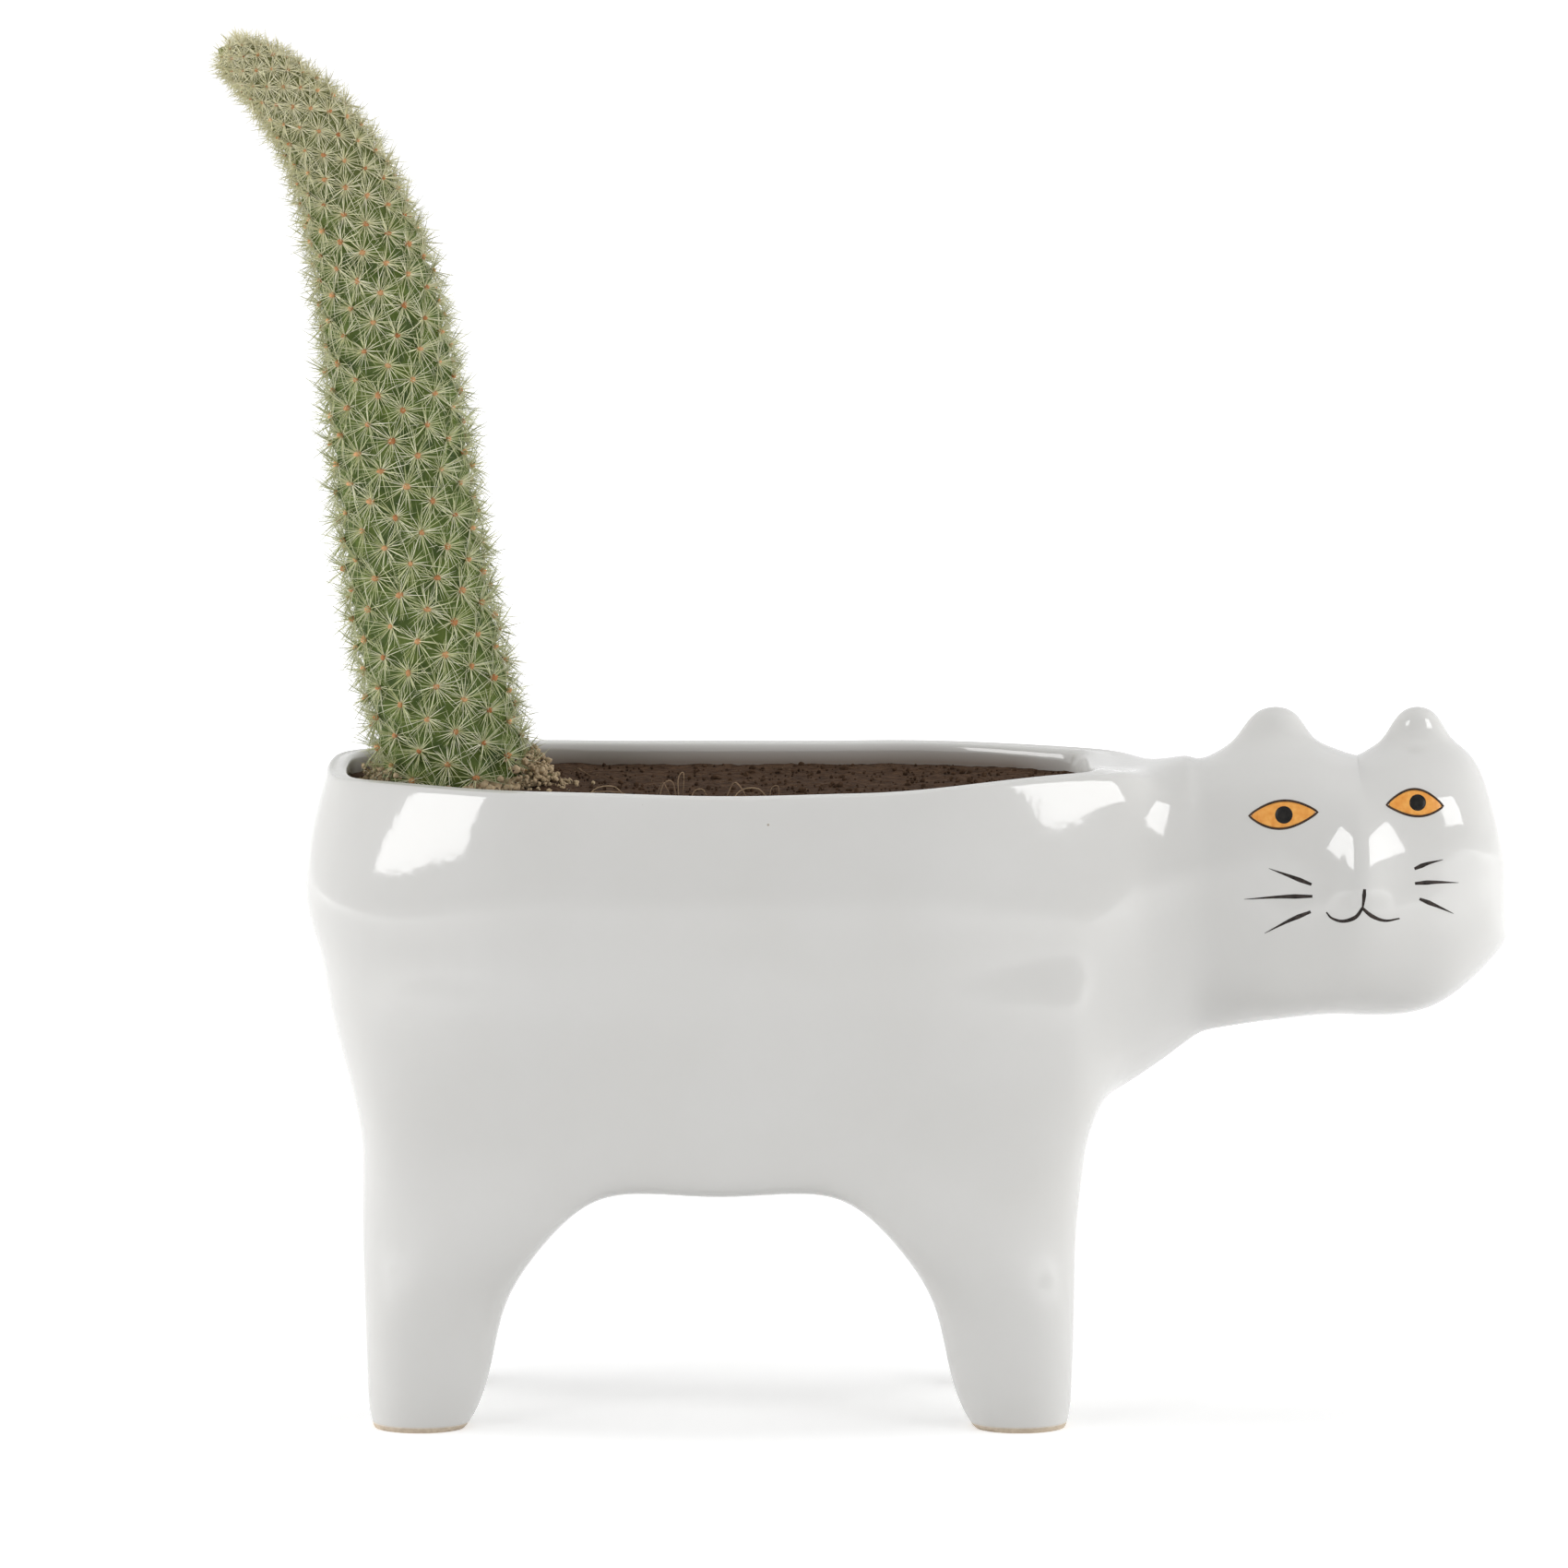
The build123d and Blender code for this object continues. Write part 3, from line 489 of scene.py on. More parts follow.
def ear(cage, near, far, middle_x, size):
    ring = [near[3], far[3], far[4], near[4]]
    for rise, half_length, half_width in EAR_RINGS:
        above = []
        for sx, sy in SQUARE:
            x, y = middle_x + sx * half_length * size, sy * half_width * size
            above.append(cage.put((middle_x, rise, sx, sy), x, y, RIM_HEIGHT + rise))
        cage.band(ring, above)
        ring = above
    cage.cell(*ring)


def head(cage):
    neck = 23.0
    root_spots = {"flank": (81.0, 0.7 * neck, 0.15), "waist": (84.0, neck, 0.42), "rump": (84.0, neck, 0.74), "lip": (85.5, 0.7 * neck, 0.985)}
    for level, (x, half, share) in root_spots.items():
        cage.points[cage.index[level, 6, 1]] = (x, -half, share_height(share))
        cage.points[cage.index[level, 6, 2]] = (x, half, share_height(share))
    rings = [[(level, 6, 1) for level in root_spots] + [(level, 6, 2) for level in reversed(root_spots)]]
    for name, sizes in HEAD_RINGS.items():
        rings.append(head_ring(cage, name, *sizes))
    for place, (near, far) in enumerate(zip(rings, rings[1:])):
        for step in range(8):
            if not (step == 3 and place in (2, 5)):
                after = (step + 1) % 8
                cage.cell(near[step], far[step], far[after], near[after])
    end = rings[-1]
    for step in range(3):
        cage.cell(end[step], end[7 - step], end[6 - step], end[step + 1])
    ear(cage, rings[2], rings[3], NOSE_X - 16.2, 1.0)
    ear(cage, rings[5], rings[6], NOSE_X + 12.2, 0.87)


def slope_front(cage):
    """Let the inner front wall slope in under the rim."""
    for level, middle, corner in (("rim", 1.5, 0.8), ("inner_lip", 5.0, 3.0), ("inner_rump", 8.0, 4.5), ("inner_waist", 5.0, 3.0)):
        for j, shift in ((0, corner), (1, middle), (2, middle), (3, corner)):
            x, y, z = cage.points[cage.index[level, 6, j]]
            cage.points[cage.index[level, 6, j]] = (x - shift, y, z)


def cat_cage():
    cage = Cage()
    belly(cage)
    rings = [[("belly", i, j) for i, j in AROUND]]
    for level, sizes in (("hip", HIP), ("flank", FLANK), ("waist", WAIST), ("rump", RUMP), ("lip", LIP)):
        rings.append(trunk_ring(cage, level, sizes))
    rings.append(trunk_ring(cage, "rim", RIM, WALL / 2))
    inner_hip = (HIP[0] + WALL, *HIP[1:])
    for level, sizes in (("lip", LIP), ("rump", RUMP), ("waist", WAIST), ("flank", FLANK), ("hip", inner_hip)):
        rings.append(trunk_ring(cage, "inner_" + level, sizes, WALL))
    rings.append(trunk_ring(cage, "floor", (BELLY_HEIGHT + 1.4 * WALL, *HIP[1:]), 2.2 * WALL))
    for i in range(1, 6):
        for j in (1, 2):
            cage.put(("floor", i, j), *outline_spot(i, j, *HIP[1:], WALL), BELLY_HEIGHT + WALL)
    slope_front(cage)
    for low, high in zip(rings, rings[1:]):
        for place, here in enumerate(low):
            if here[1:] == (6, 1) and here[0] in ("flank", "waist", "rump"):
                continue
            after = (place + 1) % len(low)
            cage.cell(here, low[after], high[after], high[place])
    for i in range(6):
        for j in range(3):
            cage.cell(("floor", i, j), ("floor", i + 1, j), ("floor", i + 1, j + 1), ("floor", i, j + 1))
            if (i, j) not in LEG_CELLS:
                cage.cell(("belly", i, j), ("belly", i, j + 1), ("belly", i + 1, j + 1), ("belly", i + 1, j))
    for corner in LEG_CELLS:
        leg(cage, corner)
    head(cage)
    return cage


def swell(points, x, z, size_x, size_z):
    """Round weight on the face about a spot, 1 at the spot."""
    return np.exp(-(((points[:, 0] - x) / size_x) ** 2) - ((points[:, 2] - z) / size_z) ** 2)


def ease(value, start, stop):
    """Smooth step from 0 at start to 1 at stop."""
    t = np.clip((value - start) / (stop - start), 0.0, 1.0)
    return t * t * (3 - 2 * t)


def sculpt(points):
    """Work the face up: nose ridge, muzzle, eye hollows and cheeks; bend the near rim; flatten the soles."""
    p = points.copy()
    on_front = ease(-p[:, 1], 2.0, 16.0) * ease(p[:, 0], 96.0, 108.0)
    ridge_x = 127.6 + (p[:, 2] - 112.0) * 0.03
    ridge = np.exp(-(((p[:, 0] - ridge_x) / 4.4) ** 2)) * ease(p[:, 2], 104.5, 109.0) * ease(-p[:, 2], -130.0, -111.0)
    push = 1.4 * ridge
    push += 0.4 * swell(p, 128.0, 101.5, 9.0, 5.0)
    push -= 0.2 * swell(p, 113.0, 121.0, 8.0, 6.0) + 0.2 * swell(p, 139.0, 122.0, 7.0, 6.0)
    push += 0.5 * swell(p, 113.0, 101.0, 9.0, 9.0) + 0.4 * swell(p, 143.0, 102.0, 7.0, 9.0)
    p[:, 1] -= push * on_front
    near_rim = ease(-p[:, 1], 0.0, 20.0) * ease(p[:, 2], 106.0, 128.0) * ease(-p[:, 0], -92.0, -78.0)
    bend = 1.7 * ease(p[:, 0], 28.0, 70.0) + 0.3 * ease(-p[:, 0], 45.0, 70.0) - 1.5 * np.exp(-((p[:, 0] - 2.0) / 34.0) ** 2)
    p[:, 2] += near_rim * bend
    p[:, 2] = np.maximum(p[:, 2], 0.0)
    return p


def soften_neck(points, faces, rounds):
    """Even out the near side of the neck, so that flank and cheek flow into each other."""
    x, y, z = points.T
    weight = 0.5 * ease(x, 70.0, 80.0) * ease(-x, -112.0, -100.0) * ease(-y, 4.0, 12.0)
    weight = (weight * ease(z, 60.0, 74.0) * ease(-z, -127.0, -118.0))[:, None]
    quads = np.array(faces)
    edges = np.concatenate([quads[:, [side, (side + 1) % 4]] for side in range(4)])
    edges = np.unique(np.sort(edges, axis=1), axis=0)
    count = np.bincount(edges.ravel(), minlength=len(points))[:, None]
    for _ in range(rounds):
        total = np.zeros_like(points)
        np.add.at(total, edges[:, 0], points[edges[:, 1]])
        np.add.at(total, edges[:, 1], points[edges[:, 0]])
        points = points + weight * (total / count - points)
    return points


LEVELS = 4
cat_points, cat_faces = cat_cage().subdivided(LEVELS)
cat_points = soften_neck(sculpt(cat_points), cat_faces, 40 if LEVELS == 3 else 160)


def cut_drain(piece):
    """Drain hole and its two seats, cut through the belly as in the solid."""
    for low, high, radius in ((40.0, 60.0, 6.0), (40.0, 48.6, 9.8), (50.8, 60.0, 13.3)):
        mesh = bpy.data.meshes.new("cutter")
        cutter = bmesh.new()
        bmesh.ops.create_cone(cutter, cap_ends=True, segments=96, radius1=radius * MM, radius2=radius * MM, depth=(high - low) * MM)
        bmesh.ops.translate(cutter, verts=cutter.verts, vec=Vector(row((0, 0, (low + high) / 2))))
        cutter.to_mesh(mesh)
        cutter.free()
        tool = bpy.data.objects.new("cutter", mesh)
        bpy.context.scene.collection.objects.link(tool)
        modifier = piece.modifiers.new("drain", "BOOLEAN")
        modifier.object = tool
        modifier.solver = "EXACT"
        graph = bpy.context.evaluated_depsgraph_get()
        result = bpy.data.meshes.new_from_object(piece.evaluated_get(graph))
        piece.modifiers.remove(modifier)
        old = piece.data
        piece.data = result
        bpy.data.meshes.remove(old)
        bpy.data.objects.remove(tool)
        bpy.data.meshes.remove(mesh)


body_piece = add_piece("cat_body", cat_points, cat_faces, "pot", GLAZE, "white_glaze", ("planter_body",))
cut_drain(body_piece)
body_piece.data.polygons.foreach_set("use_smooth", [True] * len(body_piece.data.polygons))
body_piece.data.set_sharp_from_angle(angle=math.radians(50))
cat_tree = BVHTree.FromPolygons([Vector(point) for point in cat_points], cat_faces)


# Enamel of the face, laid on the glaze
def on_face(px, py, lift):
    """Point on the face seen at a spot of the picture, lifted off the glaze."""
    place, normal, _, _ = cat_tree.ray_cast(Vector(eye), Vector(through(px, py)))
    return np.array(place) + np.array(normal) * lift


def closed_sheet(grid, top_lift, edge_lift=0.01, depth=0.12):
    """Thin closed pad on the face over a grid of picture spots, domed to its edges."""
    rows, columns = len(grid), len(grid[0])
    top, under = [], []
    for r, line in enumerate(grid):
        for c, (px, py) in enumerate(line):
            rim = r in (0, rows - 1) or c in (0, columns - 1)
            top.append(on_face(px, py, edge_lift if rim else top_lift))
            under.append(on_face(px, py, -depth))
    faces = []
    size = rows * columns
    for r in range(rows - 1):
        for c in range(columns - 1):
            a, b, d, e = r * columns + c, r * columns + c + 1, (r + 1) * columns + c + 1, (r + 1) * columns + c
            faces.append((a, b, d, e))
            faces.append((e + size, d + size, b + size, a + size))
    border = [c for c in range(columns)] + [r * columns + columns - 1 for r in range(1, rows)]
    border += [(rows - 1) * columns + c for c in range(columns - 2, -1, -1)] + [r * columns for r in range(rows - 2, 0, -1)]
    for here, after in zip(border, border[1:] + border[:1]):
        faces.append((after, here, here + size, after + size))
    return top + under, faces


def flowing(spots, count):
    """Points along a smooth line through a few spots."""
    spots = np.array(spots, float)
    ends = np.vstack([2 * spots[0] - spots[1], spots, 2 * spots[-1] - spots[-2]])
    line = []
    for step in np.linspace(0, len(spots) - 1 - 1e-9, count):
        k, t = int(step), step - int(step)
        a, b, c, d = ends[k:k + 4]
        line.append(0.5 * (2 * b + (c - a) * t + (2 * a - 5 * b + 4 * c - d) * t**2 + (3 * b - a - 3 * c + d) * t**3))
    return np.array(line)


def brush(spots, width, taper_start, taper_end, count=28):
    """Grid of a brush stroke with its own width at each end."""
    line = flowing(spots, count)
    along = np.gradient(line, axis=0)
    along /= np.linalg.norm(along, axis=1, keepdims=True)
    side = np.c_[-along[:, 1], along[:, 0]]
    share = np.linspace(0, 1, count)
    profile = np.minimum(taper_start + (1 - taper_start) * np.minimum(share / 0.3, 1), taper_end + (1 - taper_end) * np.minimum((1 - share) / 0.7, 1))
    return [[spot + normal * width * size * across for across in (-0.5, -0.3, 0.0, 0.3, 0.5)] for spot, normal, size in zip(line, side, profile)]


def joined(parts):
    """One point and face list from several."""
    points, faces = [], []
    for some_points, some_faces in parts:
        start = len(points)
        points += list(some_points)
        faces += [tuple(i + start for i in face) for face in some_faces]
    return points, faces


def lids(corner_a, corner_b, top, bottom, count):
    """Upper and lower lid of an eye between its corners."""
    a, b = np.array(corner_a, float), np.array(corner_b, float)
    share = np.linspace(0, 1, count)[:, None]
    chord = a + (b - a) * share
    curve = np.sin(np.pi * share) ** 0.86
    middle = (a + b) / 2
    return chord + curve * (np.array(top) - middle), chord + curve * (np.array(bottom) - middle)


def paint_eye(name, corner_a, corner_b, top, bottom, pupil, pupil_radius):
    upper, lower = lids(corner_a, corner_b, top, bottom, 33)
    iris = [[low + (high - low) * t for t in np.linspace(0.02, 0.98, 11)] for high, low in zip(upper[1:-1], lower[1:-1])]
    add_piece("eye_iris_" + name, *closed_sheet(iris, 0.07), "pot", AMBER, "amber_enamel", ("eye_iris_" + name,))
    rings = []
    for turn in np.linspace(0, 2 * np.pi, 33)[:-1]:
        rings.append([np.array(pupil) + np.array([math.cos(turn), math.sin(turn)]) * pupil_radius * r for r in (1.0, 0.85, 0.5)])
    add_piece("eye_pupil_" + name, *closed_ring(rings, 0.15, hub=True), "pot", BLACK, "black_enamel", ("eye_pupil_" + name,))
    loop = np.vstack([upper, lower[::-1][1:-1]])
    centre = loop.mean(0)
    along = np.roll(loop, -1, axis=0) - np.roll(loop, 1, axis=0)
    along /= np.linalg.norm(along, axis=1, keepdims=True)
    out = np.c_[along[:, 1], -along[:, 0]]
    out *= np.sign(((loop - centre) * out).sum(1))[:, None]
    ribbon = [[spot + normal * w for w in (1.3, 0.8, 0.0, -0.8, -1.2)] for spot, normal in zip(loop, out)]
    add_piece("eye_outline_" + name, *closed_ring(ribbon, 0.13), "pot", LINE, "dark_enamel", ("eye_outline_" + name,))


def closed_ring(rings, top_lift, hub=False, edge_lift=0.01, depth=0.12):
    """Thin closed pad whose grid runs round and joins its own start, with an open or a filled middle."""
    count, across = len(rings), len(rings[0])
    edges = (0,) if hub else (0, across - 1)
    top, under = [], []
    for line in rings:
        for c, (px, py) in enumerate(line):
            top.append(on_face(px, py, edge_lift if c in edges else top_lift))
            under.append(on_face(px, py, -depth))
    size = count * across
    faces = []
    for r in range(count):
        s = (r + 1) % count
        for c in range(across - 1):
            a, b, d, e = r * across + c, r * across + c + 1, s * across + c + 1, s * across + c
            faces.append((a, b, d, e))
            faces.append((e + size, d + size, b + size, a + size))
        for c in edges:
            a, e = r * across + c, s * across + c
            faces.append((e, a, a + size, e + size) if c else (a, e, e + size, a + size))
    if hub:
        middle = [r * across + across - 1 for r in range(count)]
        faces += [tuple(middle), tuple(i + size for i in reversed(middle))]
    return top + under, faces


paint_eye("right", (1354.5, 884.5), (1428.5, 880.5), (1391.0, 868.0), (1389.0, 898.5), (1392.0, 883.5), 10.2)
paint_eye("left", (1503.5, 872.8), (1564.5, 874.0), (1534.0, 855.5), (1537.0, 885.0), (1537.0, 870.2), 9.6)
WHISKERS = {
    "right": (
        ((1422.0, 959.0), (1400.0, 950.5), (1375.5, 941.5)),
        ((1423.0, 971.8), (1390.0, 972.3), (1349.0, 975.0)),
        ((1421.0, 988.5), (1398.0, 998.0), (1371.0, 1012.0)),
    ),
    "left": (
        ((1533.5, 942.0), (1547.0, 936.5), (1564.5, 932.0)),
        ((1534.0, 957.8), (1556.0, 956.5), (1581.5, 957.0)),
        ((1539.0, 974.5), (1556.0, 981.5), (1576.0, 990.5)),
    ),
}
for name, strokes in WHISKERS.items():
    pads = [closed_sheet(brush(spots, 5.0, 0.6, 0.08), 0.1) for spots in strokes]
    add_piece("whiskers_" + name, *joined(pads), "pot", DARK, "dark_enamel", ("whiskers_" + name,))
MOUTH = (
    ((1479.5, 964.0), (1478.6, 975.0), (1477.0, 987.0)),
    ((1477.6, 984.0), (1469.5, 994.5), (1456.0, 998.8), (1444.0, 995.5), (1438.0, 989.0)),
    ((1476.8, 984.5), (1488.0, 993.5), (1502.0, 998.2), (1517.5, 995.8)),
)
mouth_pads = [closed_sheet(brush(spots, 4.4, 0.7, 0.35), 0.1 + 0.01 * step) for step, spots in enumerate(MOUTH)]
add_piece("mouth", *joined(mouth_pads), "pot", DARK, "dark_enamel", ("mouth",))


# Soil: crumbly crust on the solid fill, with crumbs and straws
SOIL_TOP = 124.6
PLANT_X = -54.0
POCKET = 18.4


def wall_distance(start, direction):
    place, _, _, distance = cat_tree.ray_cast(Vector(start), Vector(direction))
    return distance


def rough_height(x, y, size):
    return noise.fractal(Vector((x / size, y / size, 3.1)), 1.0, 2.0, 4)


def soil_crust():
    z = SOIL_TOP + 0.4
    rear = -wall_distance((0, 0, z), (-1, 0, 0)) + 0.35
    front = wall_distance((0, 0, z), (1, 0, 0)) - 0.35
    columns, lines = 170, 76
    xs = (rear + front) / 2 + (front - rear) / 2 * np.sin(np.linspace(-np.pi / 2, np.pi / 2, columns)) * 0.999
    points = []
    for x in xs:
        near = wall_distance((x, 0, z), (0, -1, 0)) or 0.5
        far = wall_distance((x, 0, z), (0, 1, 0)) or 0.5
        for t in np.linspace(-1, 1, lines):
            y = t * ((near if t < 0 else far) - 0.35)
            lump = 0.6 * rough_height(x, y, 11.0) + 0.22 * rough_height(x + 70, y, 2.2)
            round_plant = math.hypot(x - PLANT_X, y)
            heap = 1.2 * math.exp(-(((round_plant - 20) / 5.0) ** 2))
            points.append((x, y, SOIL_TOP + 0.75 + 0.8 * lump + heap))
    points = np.array(points)
    faces = []
    for c in range(columns - 1):
        for l in range(lines - 1):
            a = c * lines + l
            quad = (a, a + lines, a + lines + 1, a + 1)
            middle = points[list(quad)].mean(0)
            if math.hypot(middle[0] - PLANT_X, middle[1]) > POCKET + 0.4:
                faces.append(quad)
    piece = add_piece("soil_crust", points, faces, "pot", SOIL, "soil")
    thick = piece.modifiers.new("thick", "SOLIDIFY")
    thick.thickness = 0.0006
    thick.offset = -1.0
    bake(piece)
    drop_loose(piece)
    return points


def bake(piece):
    """Apply a piece's modifiers."""
    graph = bpy.context.evaluated_depsgraph_get()
    mesh = bpy.data.meshes.new_from_object(piece.evaluated_get(graph))
    old = piece.data
    piece.modifiers.clear()
    piece.data = mesh
    bpy.data.meshes.remove(old)


def drop_loose(piece):
    """Remove points that no face uses."""
    work = bmesh.new()
    work.from_mesh(piece.data)
    bmesh.ops.delete(work, geom=[v for v in work.verts if not v.link_faces], context="VERTS")
    work.to_mesh(piece.data)
    work.free()


def crumb(middle, size, level=1):
    """Irregular lump of soil."""
    work = bmesh.new()
    bmesh.ops.create_icosphere(work, subdivisions=level, radius=1.0)
    stretch = rng.uniform(0.65, 1.15, 3)
    offset = rng.uniform(0, 100, 3)
    points = []
    for vertex in work.verts:
        direction = np.array(vertex.co)
        bulge = 1 + 0.35 * noise.noise(Vector(direction * 1.6 + offset))
        points.append(np.array(middle) + direction * stretch * size * bulge)
    faces = [tuple(v.index for v in face.verts) for face in work.faces]
    work.free()
    return points, faces


def straw(spots, radius):
    """Thin bent fibre with five sides, closed at both ends."""
    line = flowing(spots, 14)
    points, faces = [], []
    sides = 5
    for step, spot in enumerate(line):
        ahead = line[min(step + 1, len(line) - 1)] - line[max(step - 1, 0)]
        ahead /= np.linalg.norm(ahead)
        across = np.cross(ahead, (0.0, 0.3, 1.0))
        across /= np.linalg.norm(across)
        over = np.cross(ahead, across)
        size = radius * (1 - 0.5 * abs(2 * step / (len(line) - 1) - 1) ** 3)
        for k in range(sides):
            turn = 2 * np.pi * k / sides
            points.append(spot + (across * math.cos(turn) + over * math.sin(turn)) * size)
    for step in range(len(line) - 1):
        for k in range(sides):
            a, b = step * sides + k, step * sides + (k + 1) % sides
            faces.append((a, b, b + sides, a + sides))
    faces.append(tuple(range(sides)))
    faces.append(tuple(reversed(range((len(line) - 1) * sides, len(line) * sides))))
    return points, faces


soil_crust()
crumbs, straws = [], []
while len(crumbs) < 900:
    x, y = rng.uniform(-70, 72), rng.uniform(-30, 30)
    limit = wall_distance((x, 0, SOIL_TOP + 1), (0, 1 if y > 0 else -1, 0))
    if limit and abs(y) < limit - 2 and math.hypot(x - PLANT_X, y) > POCKET + 2.0:
        size = rng.choice((0.25, 0.35, 0.5, 0.8), p=(0.45, 0.3, 0.2, 0.05))
        crumbs.append(crumb((x, y, SOIL_TOP + 0.8 + 0.25 * size), size))
STRAWS = (
    (-30, -24, 0.1, 14, 2.2), (-27, -25, 0.3, 9, 3.4), (-24, -26, 2.9, 10, 1.6), (-12, -26, 0.5, 4, 4.6), (-9, -26, 2.4, 5, 4.0),
    (-8, -25, 1.3, 3, 6.0), (-6, -26, 0.3, 4, 3.0), (2, -26, 0.2, 8, 3.2), (6, -27, 2.8, 5, 4.2), (10, -26, 0.9, 3, 3.6), (-26, 12, 2.0, 10, 1.0),
)
for x, y, turn, length, lift in STRAWS:
    way = np.array([math.cos(turn), math.sin(turn) * 0.4, 0.0])
    bend = np.array([-way[1], way[0], 0.0])
    start = np.array([x, y, SOIL_TOP + 1.2])
    rise = np.array([0, 0, lift])
    spots = (start, start + way * length * 0.3 + rise * 0.8 + bend, start + way * length * 0.7 + rise - bend, start + way * length + rise * 0.25)
    straws.append(straw(spots, rng.uniform(0.09, 0.15)))
add_piece("soil_crumbs", *joined(crumbs), "pot", SOIL, "soil")
add_piece("soil_straws", *joined(straws), "pot", STRAW, "soil")


# Cactus: ribbed stem with areoles on a spiral, each with its fan of spines
STEM_LINE = (
    (-51.0, 112.6), (-52.6, 128.0), (-55.4, 141.0), (-58.0, 153.8), (-60.3, 167.0), (-62.2, 181.7), (-63.6, 193.0), (-64.8, 204.0),
    (-66.3, 215.0), (-68.3, 226.4), (-71.3, 237.6), (-75.3, 248.8), (-78.4, 254.6), (-82.4, 260.2), (-87.2, 265.4), (-92.8, 269.9), (-99.3, 273.2),
)
stem_line = flowing([(x, 0.0, z) for x, z in STEM_LINE], 400)
steps = np.linalg.norm(np.diff(stem_line, axis=0), axis=1)
stem_reach = np.r_[0, np.cumsum(steps)]
STEM_LENGTH = stem_reach[-1]


STEM_SHARES = (0.0, 0.03, 0.085, 0.3, 0.46, 0.53, 0.65, 0.72, 0.79, 0.88, 0.95, 0.985, 1.0)
STEM_RADII = (8.0, 11.2, 13.6, 13.2, 12.7, 12.2, 11.0, 10.0, 8.7, 6.6, 4.9, 3.2, 0.3)


def stem_radius(reach):
    """Radius of the flesh along the stem."""
    return np.interp(np.asarray(reach) / STEM_LENGTH, STEM_SHARES, STEM_RADII)


def stem_frame(reach):
    """Middle, direction, and outward and sideways axes of the stem at a reach."""
    middle = np.array([np.interp(reach, stem_reach, stem_line[:, k]) for k in range(3)])
    ahead = np.array([np.interp(min(reach + 2, STEM_LENGTH), stem_reach, stem_line[:, k]) - np.interp(max(reach - 2, 0), stem_reach, stem_line[:, k]) for k in range(3)])
    ahead /= np.linalg.norm(ahead)
    out = np.array([ahead[2], 0.0, -ahead[0]])
    return middle, ahead, out, np.array([0.0, 1.0, 0.0])


def stem_spot(reach, turn, radius):
    middle, ahead, out, side = stem_frame(reach)
    way = out * math.cos(turn) + side * math.sin(turn)
    return middle + way * radius, way, ahead


GOLDEN = math.radians(137.508)
areoles = []
reach, number = 11.0, 0
while reach < STEM_LENGTH - 1.0:
    turn = -GOLDEN * number
    radius = float(stem_radius(reach))
    place, way, ahead = stem_spot(reach, turn, radius)
    areoles.append((place, way, ahead, reach, radius))
    reach += 37.0 * (max(radius, 2.5) / 13.0) ** 1.5 / (2 * np.pi * max(radius, 2.5))
    number += 1
areole_tree = KDTree(len(areoles))
for place, areole in enumerate(areoles):
    areole_tree.insert(Vector(areole[0]), place)
areole_tree.balance()


def cactus_flesh():
    around, along = 128, 300
    points = []
    for reach in np.linspace(0.0, STEM_LENGTH, along):
        radius = float(stem_radius(reach))
        size = min(1.0, radius / 12.0) ** 0.75
        for k in range(around):
            turn = 2 * np.pi * k / around
            spot, way, _ = stem_spot(reach, turn, radius)
            near = areole_tree.find_n(Vector(spot), 2)
            gap = near[0][2]
            knob = 1.3 * math.exp(-((gap / (2.5 * size)) ** 2)) - 0.6
            points.append(spot + way * knob * size)
    faces = []
    for step in range(along - 1):
        for k in range(around):
            a, b = step * around + k, step * around + (k + 1) % around
            faces.append((a, b, b + around, a + around))
    faces.append(tuple(reversed(range(around))))
    faces.append(tuple(range((along - 1) * around, along * around)))
    return points, faces


def needle(start, way, length, radius, bend):
    """Fine tapered spine with three sides and a slight bend."""
    across = np.cross(way, (0.31, 0.77, 0.55))
    across /= np.linalg.norm(across)
    over = np.cross(way, across)
    points = []
    for share, size in ((0.0, 1.0), (0.5, 0.75)):
        middle = start + way * length * share + bend * share**2 * length
        for k in range(3):
            turn = 2 * np.pi * k / 3
            points.append(middle + (across * math.cos(turn) + over * math.sin(turn)) * radius * size)
    points.append(start + way * length + bend * length)
    faces = [(2, 1, 0)]
    for k in range(3):
        a, b = k, (k + 1) % 3
        faces.append((a, b, b + 3, a + 3))
        faces.append((a + 3, b + 3, 6))
    return points, faces


